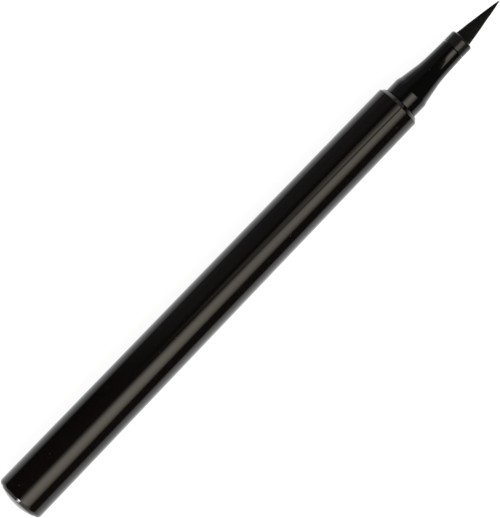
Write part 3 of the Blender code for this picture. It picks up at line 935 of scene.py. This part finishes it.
TANK_COLOUR = (0.7, 0.7, 0.66)
TANK_STAIN = (0.42, 0.42, 0.4)
TANK_CLEARNESS = 0.35
TANK_ROUGHNESS = 0.3
WHITE_COLOUR = (0.76, 0.75, 0.71)
WHITE_STAIN = (0.3, 0.3, 0.3)
WHITE_ROUGHNESS = 0.35
STAIN_SCALE = 320.0
STAIN_RANGE = (0.5, 0.8)
PALE_DEPTH = {"Subsurface Weight": 0.15, "Subsurface Scale": 0.0008}
PALE_DULLNESS = 0.1
PALE_RIPPLE = 0.000004


def pale_moulding(name, colour, stain, clearness, roughness):
    """Milky or white moulded plastic with a faint ink stain in places."""
    material, tree, shader, places = new_material(name)
    skin = effect(tree, "Moulded Skin", moulded_skin_group, places)
    share = ramp(tree, noise(tree, places, STAIN_SCALE, 4.0), *STAIN_RANGE)
    stained = blend_colour(tree, share, colour, stain)
    dullness = maths(tree, "MULTIPLY_ADD", skin["Sheen"], PALE_DULLNESS, roughness)
    set_looks(tree, shader, stained, dullness, {"Transmission Weight": clearness, **PALE_DEPTH})
    bump(tree, shader, skin["Height"], PALE_RIPPLE)
    return material


def milky_tank():
    return pale_moulding("milky_tank", TANK_COLOUR, TANK_STAIN, TANK_CLEARNESS, TANK_ROUGHNESS)


def white_moulding():
    return pale_moulding("white_moulding", WHITE_COLOUR, WHITE_STAIN, 0.0, WHITE_ROUGHNESS)


RUBBER_COLOUR = (0.016, 0.016, 0.016)
RUBBER_DUST = (0.05, 0.05, 0.05)
RUBBER_DUST_AMOUNT = 0.2
RUBBER_PIT_SCALE = 16000.0
RUBBER_ROUGHNESS = 0.5
RUBBER_DULLNESS = 0.15
RUBBER_RIPPLE = 0.000008


def seal_rubber():
    material, tree, shader, places = new_material("seal_rubber")
    skin = effect(tree, "Moulded Skin", moulded_skin_group, places, {"Pit Scale": RUBBER_PIT_SCALE})
    dust = effect(tree, "Dust Specks", dust_group, places, {"Amount": RUBBER_DUST_AMOUNT})
    dusty = blend_colour(tree, dust["Mask"], RUBBER_COLOUR, RUBBER_DUST)
    dullness = maths(tree, "MULTIPLY_ADD", skin["Sheen"], RUBBER_DULLNESS, RUBBER_ROUGHNESS)
    set_looks(tree, shader, dusty, dullness)
    bump(tree, shader, skin["Height"], RUBBER_RIPPLE)
    return material


STEEL_COLOUR = (0.58, 0.57, 0.56)
STEEL_FILM = (0.36, 0.35, 0.35)
FILM_SCALE = 900.0
FILM_RANGE = (0.45, 0.75)
LAPPING_STRETCH = (2600.0, 900.0, 2600.0)
LAPPING_AMOUNT = 0.05
LAPPING_DULLNESS = 0.2
LAPPING_DEPTH = 0.000001
STEEL_ROUGHNESS = 0.12


def ball_steel():
    """A ground steel ball: fine criss-cross lapping lines and a breath of ink film."""
    material, tree, shader, places = new_material("ball_steel")
    lapping = {"Stretch": LAPPING_STRETCH, "Amount": LAPPING_AMOUNT}
    lines = effect(tree, "Hairlines", hairline_group, places, lapping)
    film = ramp(tree, noise(tree, places, FILM_SCALE, 3.0), *FILM_RANGE)
    colour = blend_colour(tree, film, STEEL_COLOUR, STEEL_FILM)
    dullness = maths(tree, "MULTIPLY_ADD", lines["Mask"], LAPPING_DULLNESS, STEEL_ROUGHNESS)
    set_looks(tree, shader, colour, dullness, {"Metallic": 1.0})
    bump(tree, shader, lines["Mask"], LAPPING_DEPTH)
    return material


# Property groups


class EyelinerSizes(bpy.types.PropertyGroup):
    """How big the felt point is and how finely the pieces are divided"""

    outer_sides: IntProperty(
        name="Outer Sides", description="Facets round each outer piece", default=224, min=24, max=400
    )
    inner_sides: IntProperty(
        name="Inner Sides", description="Facets round each piece inside", default=96, min=16, max=400
    )
    tip_radius: FloatProperty(
        name="Tip Radius", description="Radius of the felt point at the ring", default=0.00163, unit="LENGTH"
    )
    tip_fullness: FloatProperty(
        name="Tip Fullness", description="Below 1 the point swells, at 1 it is a straight cone", default=0.87
    )
    fibre_count: IntProperty(name="Fibres", description="Strands laid on the felt point", default=210, min=0)
    fibre_radius: FloatProperty(
        name="Fibre Radius", description="Radius of one strand", default=0.000022, unit="LENGTH"
    )


class EyelinerFinishes(bpy.types.PropertyGroup):
    """Colours and gloss of the pieces that show"""

    barrel_colour: FloatVectorProperty(
        name="Barrel Colour", description="Moulded black of the barrel and plug", subtype="COLOR",
        size=3, min=0, max=1, default=(0.0042, 0.0033, 0.003)
    )
    nose_colour: FloatVectorProperty(
        name="Nose Colour", description="Moulded black of the nose and ring", subtype="COLOR",
        size=3, min=0, max=1, default=(0.0032, 0.003, 0.003)
    )
    felt_colour: FloatVectorProperty(
        name="Felt Colour", description="Ink-soaked felt", subtype="COLOR",
        size=3, min=0, max=1, default=(0.0015, 0.0015, 0.0015)
    )
    barrel_roughness: FloatProperty(
        name="Barrel Roughness", description="How soft the barrel's gloss is", subtype="FACTOR",
        min=0, max=1, default=0.09
    )


class EyelinerStudio(bpy.types.PropertyGroup):
    """Light levels and the camera's distance"""

    key_level: FloatProperty(name="Key Level", description="Brightness of the soft box", default=2.3, min=0)
    fill_level: FloatProperty(
        name="Fill Level", description="Brightness of the room's even light", default=0.65, min=0
    )
    camera_distance: FloatProperty(
        name="Camera Distance", description="From the lens to the pen", default=0.8, unit="LENGTH"
    )


# Making pieces


def new_object(name, points, faces=()):
    mesh = bpy.data.meshes.new(name)
    mesh.from_pydata(points, [], faces)
    piece = bpy.data.objects.new(name, mesh)
    bpy.context.scene.collection.objects.link(piece)
    return piece


def set_input(modifier, name, value):
    """Sets a modifier's input by the identifier of its socket."""
    item = next(socket for socket in modifier.node_group.interface.items_tree if socket.name == name)
    modifier[item.identifier] = value


def grown(name, tree, points, inputs):
    """Runs a geometry tree on the points and keeps the result as a plain mesh."""
    piece = new_object(name, points)
    modifier = piece.modifiers.new(tree.name, "NODES")
    modifier.node_group = tree
    for key, value in inputs.items():
        set_input(modifier, key, value)
    graph = bpy.context.evaluated_depsgraph_get()
    mesh = bpy.data.meshes.new_from_object(piece.evaluated_get(graph))
    piece.modifiers.clear()
    piece.data = mesh
    mesh.name = name
    return piece


def turn_piece(node, profile, sides, material, body=PEN, axis_height=AXIS_HEIGHT):
    """Turns a profile round the pen's axis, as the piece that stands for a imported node."""
    points = [(TAIL + place * MM, radius * MM, 0.0) for place, radius in profile]
    inputs = {"Sides": sides, "Axis Height": axis_height, "Finish": material}
    piece = grown(f"pen_{node}", shared("Turned Piece", turned_piece_tree), points, inputs)
    piece.data.set_sharp_from_angle(angle=SHARP_ANGLE)
    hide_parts(node)
    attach(piece, body)


class EYELINER_OT_barrel(bpy.types.Operator):
    """Turns the glossy barrel, its tail rim rounded and its mouth chamfered"""

    bl_idname = "eyeliner.barrel"
    bl_label = "Barrel"
    bl_options = {"REGISTER", "UNDO"}

    def execute(self, context):
        sides = context.scene.eyeliner_sizes.outer_sides
        black = shared("barrel_black", barrel_black)
        turn_piece("barrel", barrel_profile(), sides, black)
        return {"FINISHED"}


class EYELINER_OT_tail_plug(bpy.types.Operator):
    """Turns the domed plug that closes the tail"""

    bl_idname = "eyeliner.tail_plug"
    bl_label = "Tail Plug"
    bl_options = {"REGISTER", "UNDO"}

    def execute(self, context):
        sides = context.scene.eyeliner_sizes.outer_sides
        black = shared("barrel_black", barrel_black)
        turn_piece("tail_plug", plug_profile(), sides, black)
        return {"FINISHED"}


class EYELINER_OT_nose_cone(bpy.types.Operator):
    """Turns the stepped nose with its collar, cone and neck"""

    bl_idname = "eyeliner.nose_cone"
    bl_label = "Nose Cone"
    bl_options = {"REGISTER", "UNDO"}

    def execute(self, context):
        sides = context.scene.eyeliner_sizes.outer_sides
        black = shared("nose_black", nose_black)
        turn_piece("nose_cone", nose_profile(), sides, black)
        return {"FINISHED"}


class EYELINER_OT_front_ring(bpy.types.Operator):
    """Turns the short ring at the front of the nose"""

    bl_idname = "eyeliner.front_ring"
    bl_label = "Front Ring"
    bl_options = {"REGISTER", "UNDO"}

    def execute(self, context):
        sides = context.scene.eyeliner_sizes.outer_sides
        black = shared("ring_black", ring_black)
        turn_piece("front_ring", ring_profile(), sides, black)
        return {"FINISHED"}


class EYELINER_OT_felt_tip(bpy.types.Operator):
    """Turns the felt point and lays fine fibres along it"""

    bl_idname = "eyeliner.felt_tip"
    bl_label = "Felt Tip"
    bl_options = {"REGISTER", "UNDO"}

    def execute(self, context):
        size = context.scene.eyeliner_sizes
        felt = shared("inked_felt", inked_felt)
        profile = tip_profile(size.tip_radius / MM, size.tip_fullness)
        turn_piece("felt_tip", profile, size.inner_sides, felt)
        inputs = {
            "Count": size.fibre_count,
            "Base Place": TAIL + RING_FRONT * MM,
            "Length": (TIP_POINT - RING_FRONT) * MM,
            "Base Radius": size.tip_radius,
            "Fullness": size.tip_fullness,
            "Fibre Radius": size.fibre_radius,
            "Axis Height": AXIS_HEIGHT,
            "Finish": felt,
        }
        tree = shared("Felt Fibres", fibre_tree)
        fibres = grown("pen_felt_fibres", tree, [(0.0, 0.0, 0.0)], inputs)
        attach(fibres, PEN)
        return {"FINISHED"}


class EYELINER_OT_ink_tank(bpy.types.Operator):
    """Turns the milky tank that holds the ink"""

    bl_idname = "eyeliner.ink_tank"
    bl_label = "Ink Tank"
    bl_options = {"REGISTER", "UNDO"}

    def execute(self, context):
        sides = context.scene.eyeliner_sizes.inner_sides
        milky = shared("milky_tank", milky_tank)
        turn_piece("ink_tank", tank_profile(), sides, milky)
        return {"FINISHED"}


class EYELINER_OT_feed_wick(bpy.types.Operator):
    """Turns the fibre rod that feeds the tip"""

    bl_idname = "eyeliner.feed_wick"
    bl_label = "Feed Wick"
    bl_options = {"REGISTER", "UNDO"}

    def execute(self, context):
        sides = context.scene.eyeliner_sizes.inner_sides
        fibre = shared("inked_fibre", inked_fibre)
        turn_piece("feed_wick", wick_profile(), sides, fibre)
        return {"FINISHED"}


class EYELINER_OT_seals(bpy.types.Operator):
    """Turns the two rubber rings"""

    bl_idname = "eyeliner.seals"
    bl_label = "Seals"
    bl_options = {"REGISTER", "UNDO"}

    def execute(self, context):
        sides = context.scene.eyeliner_sizes.inner_sides
        rubber = shared("seal_rubber", seal_rubber)
        for node in ("nose_o_ring", "stopper_o_ring"):
            turn_piece(node, seal_profile(node), sides, rubber)
        return {"FINISHED"}


class EYELINER_OT_mixing_ball(bpy.types.Operator):
    """Turns the steel ball that stirs the ink"""

    bl_idname = "eyeliner.mixing_ball"
    bl_label = "Mixing Ball"
    bl_options = {"REGISTER", "UNDO"}

    def execute(self, context):
        sides = context.scene.eyeliner_sizes.inner_sides
        steel = shared("ball_steel", ball_steel)
        low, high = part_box("mixing_ball")
        height = (low.z + high.z) / 2
        turn_piece("mixing_ball", ball_profile(), sides, steel, LOOSE_BALL, height)
        return {"FINISHED"}


class EYELINER_OT_white_mouldings(bpy.types.Operator):
    """Gives the tank stopper and the comb of fins their white moulded finish"""

    bl_idname = "eyeliner.white_mouldings"
    bl_label = "White Mouldings"
    bl_options = {"REGISTER", "UNDO"}

    def execute(self, context):
        material = shared("white_moulding", white_moulding)
        for node in ("tank_stopper", "collector"):
            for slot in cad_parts[node].material_slots:
                slot.material = material
        return {"FINISHED"}


# Studio, in metres. Four values in a row are the two ends of a range, and what each end gives

PANEL_FOOT = 0.001

KEY_COLOUR = (1.0, 0.93, 0.78)
KEY_ANGLE = math.radians(30)
KEY_DISTANCE = 0.6
KEY_TAIL_END = -1.3

# The soft box's corners: how far down its slope from its centre, and the place along the pen
KEY_EDGE = (
    (-0.4, KEY_TAIL_END), (0.6, KEY_TAIL_END), (0.45, -0.43), (0.25, -0.017), (0.24, 0.043), (0.25, 0.06),
    (0.25, 0.175), (0.18, 0.173), (0.055, 0.1558), (0.0, 0.1504), (-0.14, 0.1531), (-0.2, 0.1551),
    (-0.3, 0.161), (-0.4, 0.166),
)
KEY_BRIGHTEST_SHARE = 0.1
KEY_INNER_REACH = 0.405
KEY_OUTER_REACHES = (-0.06, 0.05, 0.61, 0.52)
KEY_FAR_EDGE = (-0.66, -0.46, 0.0, 0.25)
KEY_TAIL_GAIN = (-0.045, 0.02, 1.2, 1.0)

SIDE_DISTANCE = 0.55
SIDE_ENDS = (-0.06, 0.9)
SIDE_HEIGHT_SHARE = 3
SIDE_FADE_IN = (-0.055, -0.01)
SIDE_FADE_UP = (2.9, 0.9)
SIDE_LEVEL = 0.1
SIDE_LOW_PART = (0.6, 0.0)
SIDE_LOW_GAIN = 0.04
SIDE_FOOT = (0.45, 0.0)
SIDE_FOOT_START = (0.07, 0.12)
SIDE_FOOT_GAIN = 0.25

# Each low sheet's place along the pen, its two sides, its top and its level
LOW_SHEETS = {
    "tip": (0.5, (-0.075, 0.4), 0.16, 0.42),
    "tail": (-0.75, (-0.6, 0.6), 0.12, 1.6),
}

LAMP_PLACE = (-0.69, -0.012, 0.21)
LAMP_SIZE = 0.13
LAMP_POWER = 2.6

# How the floor shows in the pen's gloss. A reach of two values is what the soft box's side adds to it, and
# the reach on the other side
FLOOR_SIDE_CHANGE = (0.004, -0.004)
FLOOR_TIP_START = 0.045
FLOOR_TIP_REACH = (-0.1, 0.12)
FLOOR_TAIL_START = TAIL - 0.005
FLOOR_TAIL_REACH = 0.12
FLOOR_SIDE_REACH = (0.068, 0.042)
FLOOR_MIDDLE_STARTS = ((-0.055, -0.02), (0.038, 0.0))
FLOOR_MIDDLE_GAIN = 0.38
FLOOR_KEY_LEVEL = 1.45
FLOOR_FAR_LEVEL = 1.72

FLOOR_HALF = 1.6
FLOOR_COLOUR = (0.8, 0.8, 0.8, 1.0)
FLOOR_WHITE = 1.28
FLOOR_SHADOW_SHARE = 0.3
GLOSS_DARKNESS = 0.985
WHITE = (1.0, 1.0, 1.0)

TARGET_FROM_TAIL = 0.06171
TARGET_ACROSS = 0.000106
CAMERA_FROM_TAIL = 0.03045
IMAGE_UP = Vector((0.72082, 0.6931, 0.0))
SENSOR = 36.0
PHOTO_HEIGHT_PIXELS = 518
PIXELS_PER_MM = 5.42
VIEW_HEIGHT = PHOTO_HEIGHT_PIXELS / PIXELS_PER_MM * MM
CLIP_START = 0.01
CLIP_END = 20


def panel(name, corners, material):
    """A lit panel that lights the pen and shows in its gloss, but not to the camera."""
    sheet = new_object(name, corners, [tuple(range(len(corners)))])
    sheet.data.materials.append(material)
    sheet.visible_camera = False
    sheet.visible_shadow = False


def bare_material(name):
    """A material whose own shader is still to come."""
    material = bpy.data.materials.new(name)
    material.use_nodes = True
    tree = material.node_tree
    tree.nodes.remove(tree.nodes["Principled BSDF"])
    return material, tree, tree.nodes["Material Output"].inputs["Surface"]


def glow_material(name, colour):
    material, tree, surface = bare_material(name)
    places = add(tree, "ShaderNodeTexCoord").outputs["Object"]
    glow = add(tree, "ShaderNodeEmission", {"Color": (*colour, 1.0)})
    tree.links.new(glow.outputs[0], surface)
    return material, tree, glow.inputs["Strength"], places


def soft_box(level):
    """A soft box on the -Y side, leaning over the pen, brightest above its middle and towards the tail."""
    material, tree, strength, places = glow_material("soft_box_glow", KEY_COLOUR)
    outward = Vector((0, -math.sin(KEY_ANGLE), math.cos(KEY_ANGLE)))
    down = Vector((0, -math.cos(KEY_ANGLE), -math.sin(KEY_ANGLE)))
    centre = Vector((0, 0, AXIS_HEIGHT)) + outward * KEY_DISTANCE
    corners = [centre + down * step + Vector((end, 0, 0)) for step, end in KEY_EDGE]
    offset = vectors(tree, "SUBTRACT", places, tuple(centre))
    share = maths(tree, "DIVIDE", vectors(tree, "DOT_PRODUCT", offset, tuple(down)), KEY_DISTANCE)
    off = maths(tree, "ADD", share, KEY_BRIGHTEST_SHARE)
    along = add(tree, "ShaderNodeSeparateXYZ", {0: places}).outputs["X"]
    inner = maths(tree, "DIVIDE", off, KEY_INNER_REACH)
    outer = maths(tree, "DIVIDE", off, ramp(tree, along, *KEY_OUTER_REACHES, smooth=False))
    wide = maths(tree, "MAXIMUM", maths(tree, "MULTIPLY", inner, -1.0), outer)
    fall = maths(tree, "SUBTRACT", 1.0, maths(tree, "MULTIPLY", wide, wide))
    fall = maths(tree, "MAXIMUM", fall, ramp(tree, share, *KEY_FAR_EDGE))
    fall = maths(tree, "MULTIPLY", fall, ramp(tree, along, *KEY_TAIL_GAIN))
    put(tree, strength, maths(tree, "MULTIPLY", fall, level))
    panel("studio_soft_box", corners, material)


def side_reflector():
    """A dim upright sheet on the +Y side, which fades in from the pen's tail and towards its top edge.

    Its foot is brighter beyond the tip, for the cone.
    """
    material, tree, strength, places = glow_material("side_reflector_glow", WHITE)
    place = add(tree, "ShaderNodeSeparateXYZ", {0: places}).outputs
    rise = maths(tree, "DIVIDE", place["Z"], SIDE_DISTANCE)
    level = maths(tree, "MULTIPLY_ADD", ramp(tree, rise, *SIDE_LOW_PART), SIDE_LOW_GAIN, SIDE_LEVEL)
    foot = maths(tree, "MULTIPLY", ramp(tree, rise, *SIDE_FOOT), ramp(tree, place["X"], *SIDE_FOOT_START))
    level = maths(tree, "MULTIPLY_ADD", foot, SIDE_FOOT_GAIN, level)
    level = maths(tree, "MULTIPLY", level, ramp(tree, rise, *SIDE_FADE_UP))
    put(tree, strength, maths(tree, "MULTIPLY", level, ramp(tree, place["X"], *SIDE_FADE_IN)))
    rear, front = SIDE_ENDS
    top = SIDE_DISTANCE * SIDE_HEIGHT_SHARE
    edge = ((rear, PANEL_FOOT), (front, PANEL_FOOT), (front, top), (rear, top))
    panel("studio_side_reflector", [(x, SIDE_DISTANCE, z) for x, z in edge], material)


def low_sheets():
    """Low upright sheets beyond the pen's ends, for the chamfer at its mouth and the rims at its tail."""
    for end, (place, (left, right), top, level) in LOW_SHEETS.items():
        material, _, strength, _ = glow_material(f"{end}_sheet_glow", WHITE)
        strength.default_value = level
        edge = ((left, PANEL_FOOT), (right, PANEL_FOOT), (right, top), (left, top))
        panel(f"studio_{end}_sheet", [(place, y, z) for y, z in edge], material)


def tail_lamp():
    """A small lamp behind the tail that only glints on its rims."""
    light = bpy.data.lights.new("studio_tail_lamp", "AREA")
    light.shape = "DISK"
    light.size = LAMP_SIZE
    light.energy = LAMP_POWER
    lamp = bpy.data.objects.new("studio_tail_lamp", light)
    bpy.context.scene.collection.objects.link(lamp)
    lamp.location = LAMP_PLACE
    aim = Vector((TAIL, 0, AXIS_HEIGHT)) - lamp.location
    lamp.rotation_euler = aim.to_track_quat("-Z", "Y").to_euler()
    lamp.visible_camera = False
    lamp.visible_diffuse = False


def floor_in_gloss(tree):
    """How bright the floor shows in the pen's gloss: fading with distance, sooner on the +Y side."""
    places = add(tree, "ShaderNodeTexCoord").outputs["Object"]
    place = add(tree, "ShaderNodeSeparateXYZ", {0: places}).outputs
    key_side = ramp(tree, place["Y"], *FLOOR_SIDE_CHANGE)
    tip_reach = maths(tree, "MULTIPLY_ADD", key_side, *FLOOR_TIP_REACH)
    ahead = maths(tree, "DIVIDE", maths(tree, "SUBTRACT", place["X"], FLOOR_TIP_START), tip_reach)
    behind = maths(tree, "DIVIDE", maths(tree, "SUBTRACT", FLOOR_TAIL_START, place["X"]), FLOOR_TAIL_REACH)
    beyond = maths(tree, "MAXIMUM", maths(tree, "MAXIMUM", ahead, behind), 0.0)
    aside = maths(tree, "DIVIDE", place["Y"], maths(tree, "MULTIPLY_ADD", key_side, *FLOOR_SIDE_REACH))
    far = add(tree, "ShaderNodeCombineXYZ", {"X": beyond, "Y": aside}).outputs[0]
    middle = maths(tree, "MULTIPLY", *(ramp(tree, place["X"], *start) for start in FLOOR_MIDDLE_STARTS))
    on_key_side = maths(tree, "MULTIPLY_ADD", middle, FLOOR_MIDDLE_GAIN, FLOOR_KEY_LEVEL)
    change = maths(tree, "SUBTRACT", on_key_side, FLOOR_FAR_LEVEL)
    level = maths(tree, "MULTIPLY_ADD", key_side, change, FLOOR_FAR_LEVEL)
    fade = maths(tree, "EXPONENT", maths(tree, "MULTIPLY", vectors(tree, "LENGTH", far), -1.0))
    return maths(tree, "MULTIPLY", level, fade)


def floor_material():
    """White to the camera but for the pen's soft shadow, and a white patch round the pen in its gloss."""
    material, tree, surface = bare_material("studio_floor")
    rays = add(tree, "ShaderNodeLightPath").outputs
    paint = add(tree, "ShaderNodeBsdfDiffuse", {"Color": FLOOR_COLOUR})
    white = add(tree, "ShaderNodeEmission", {"Color": (*WHITE, 1.0), "Strength": FLOOR_WHITE})
    seen = add(tree, "ShaderNodeEmission", {"Color": (*WHITE, 1.0), "Strength": floor_in_gloss(tree)})
    to_camera = add(
        tree,
        "ShaderNodeMixShader",
        {0: FLOOR_SHADOW_SHARE, 1: white.outputs[0], 2: paint.outputs[0]},
    )
    mixed = paint
    shown = {"Is Camera Ray": to_camera, "Is Glossy Ray": seen, "Is Transmission Ray": white}
    for ray, shader in shown.items():
        mixed = add(tree, "ShaderNodeMixShader", {0: rays[ray], 1: mixed.outputs[0], 2: shader.outputs[0]})
    tree.links.new(mixed.outputs[0], surface)
    return material


def studio_floor():
    half = FLOOR_HALF
    corners = [(-half, -half, 0), (half, -half, 0), (half, half, 0), (-half, half, 0)]
    floor = new_object("studio_floor", corners, [(0, 1, 2, 3)])
    floor.data.materials.append(floor_material())


def studio_world(fill):
    """White behind everything, an even fill on matte surfaces, and a dark room above in the gloss."""
    world = bpy.data.worlds.new("studio_room")
    bpy.context.scene.world = world
    world.use_nodes = True
    tree = world.node_tree
    rays = add(tree, "ShaderNodeLightPath").outputs
    back = tree.nodes["Background"]
    back.inputs["Color"].default_value = (*WHITE, 1.0)
    unlit = maths(tree, "MULTIPLY", rays["Is Diffuse Ray"], 1 - fill)
    dark = maths(tree, "MULTIPLY", rays["Is Glossy Ray"], GLOSS_DARKNESS)
    put(tree, back.inputs["Strength"], maths(tree, "SUBTRACT", maths(tree, "SUBTRACT", 1.0, unlit), dark))


def studio_camera(distance):
    """A camera high above the tail half, turned so that the pen lies as in the photograph."""
    data = bpy.data.cameras.new("studio_camera")
    data.sensor_width = SENSOR
    data.clip_start = CLIP_START
    data.clip_end = CLIP_END
    camera = bpy.data.objects.new("studio_camera", data)
    bpy.context.scene.collection.objects.link(camera)
    target = Vector((TAIL + TARGET_FROM_TAIL, TARGET_ACROSS, AXIS_HEIGHT))
    place = Vector((TAIL + CAMERA_FROM_TAIL, 0.0, AXIS_HEIGHT + distance))
    back = (place - target).normalized()
    right = IMAGE_UP.cross(back).normalized()
    up = back.cross(right)
    camera.matrix_world = Matrix((
        (right.x, up.x, back.x, place.x),
        (right.y, up.y, back.y, place.y),
        (right.z, up.z, back.z, place.z),
        (0, 0, 0, 1),
    ))
    data.lens = SENSOR * (place - target).length / VIEW_HEIGHT
    bpy.context.scene.camera = camera


class EYELINER_OT_stage(bpy.types.Operator):
    """Sets up the white floor, the lights and the camera"""

    bl_idname = "eyeliner.stage"
    bl_label = "Stage"
    bl_options = {"REGISTER", "UNDO"}

    def execute(self, context):
        studio = context.scene.eyeliner_studio
        studio_floor()
        soft_box(studio.key_level)
        side_reflector()
        low_sheets()
        tail_lamp()
        studio_world(studio.fill_level)
        studio_camera(studio.camera_distance)
        context.scene.view_settings.view_transform = "Standard"
        return {"FINISHED"}


PIECES = (
    EYELINER_OT_stage,
    EYELINER_OT_barrel,
    EYELINER_OT_tail_plug,
    EYELINER_OT_nose_cone,
    EYELINER_OT_front_ring,
    EYELINER_OT_felt_tip,
    EYELINER_OT_ink_tank,
    EYELINER_OT_feed_wick,
    EYELINER_OT_seals,
    EYELINER_OT_mixing_ball,
    EYELINER_OT_white_mouldings,
)


class EYELINER_PT_pieces(bpy.types.Panel):
    """Lists the pieces, their sizes and finishes"""

    bl_idname = "EYELINER_PT_pieces"
    bl_label = "Eyeliner Pen"
    bl_space_type = "VIEW_3D"
    bl_region_type = "UI"
    bl_category = "Eyeliner"

    def draw(self, context):
        layout = self.layout
        for name, _ in GROUPS:
            group = getattr(context.scene, name)
            box = layout.box()
            for key in group.__annotations__:
                box.prop(group, key)
        column = layout.column()
        for piece in PIECES:
            column.operator(piece.bl_idname)


GROUPS = (
    ("eyeliner_sizes", EyelinerSizes),
    ("eyeliner_finishes", EyelinerFinishes),
    ("eyeliner_studio", EyelinerStudio),
)


def register():
    for name, group in GROUPS:
        bpy.utils.register_class(group)
        setattr(bpy.types.Scene, name, PointerProperty(type=group))
    for piece in PIECES:
        bpy.utils.register_class(piece)
    bpy.utils.register_class(EYELINER_PT_pieces)


def unregister():
    bpy.utils.unregister_class(EYELINER_PT_pieces)
    for piece in reversed(PIECES):
        bpy.utils.unregister_class(piece)
    for name, group in reversed(GROUPS):
        delattr(bpy.types.Scene, name)
        bpy.utils.unregister_class(group)


def main():
    register()
    for piece in PIECES:
        category, name = piece.bl_idname.split(".")
        getattr(getattr(bpy.ops, category), name)()


if __name__ == "__main__":
    main()
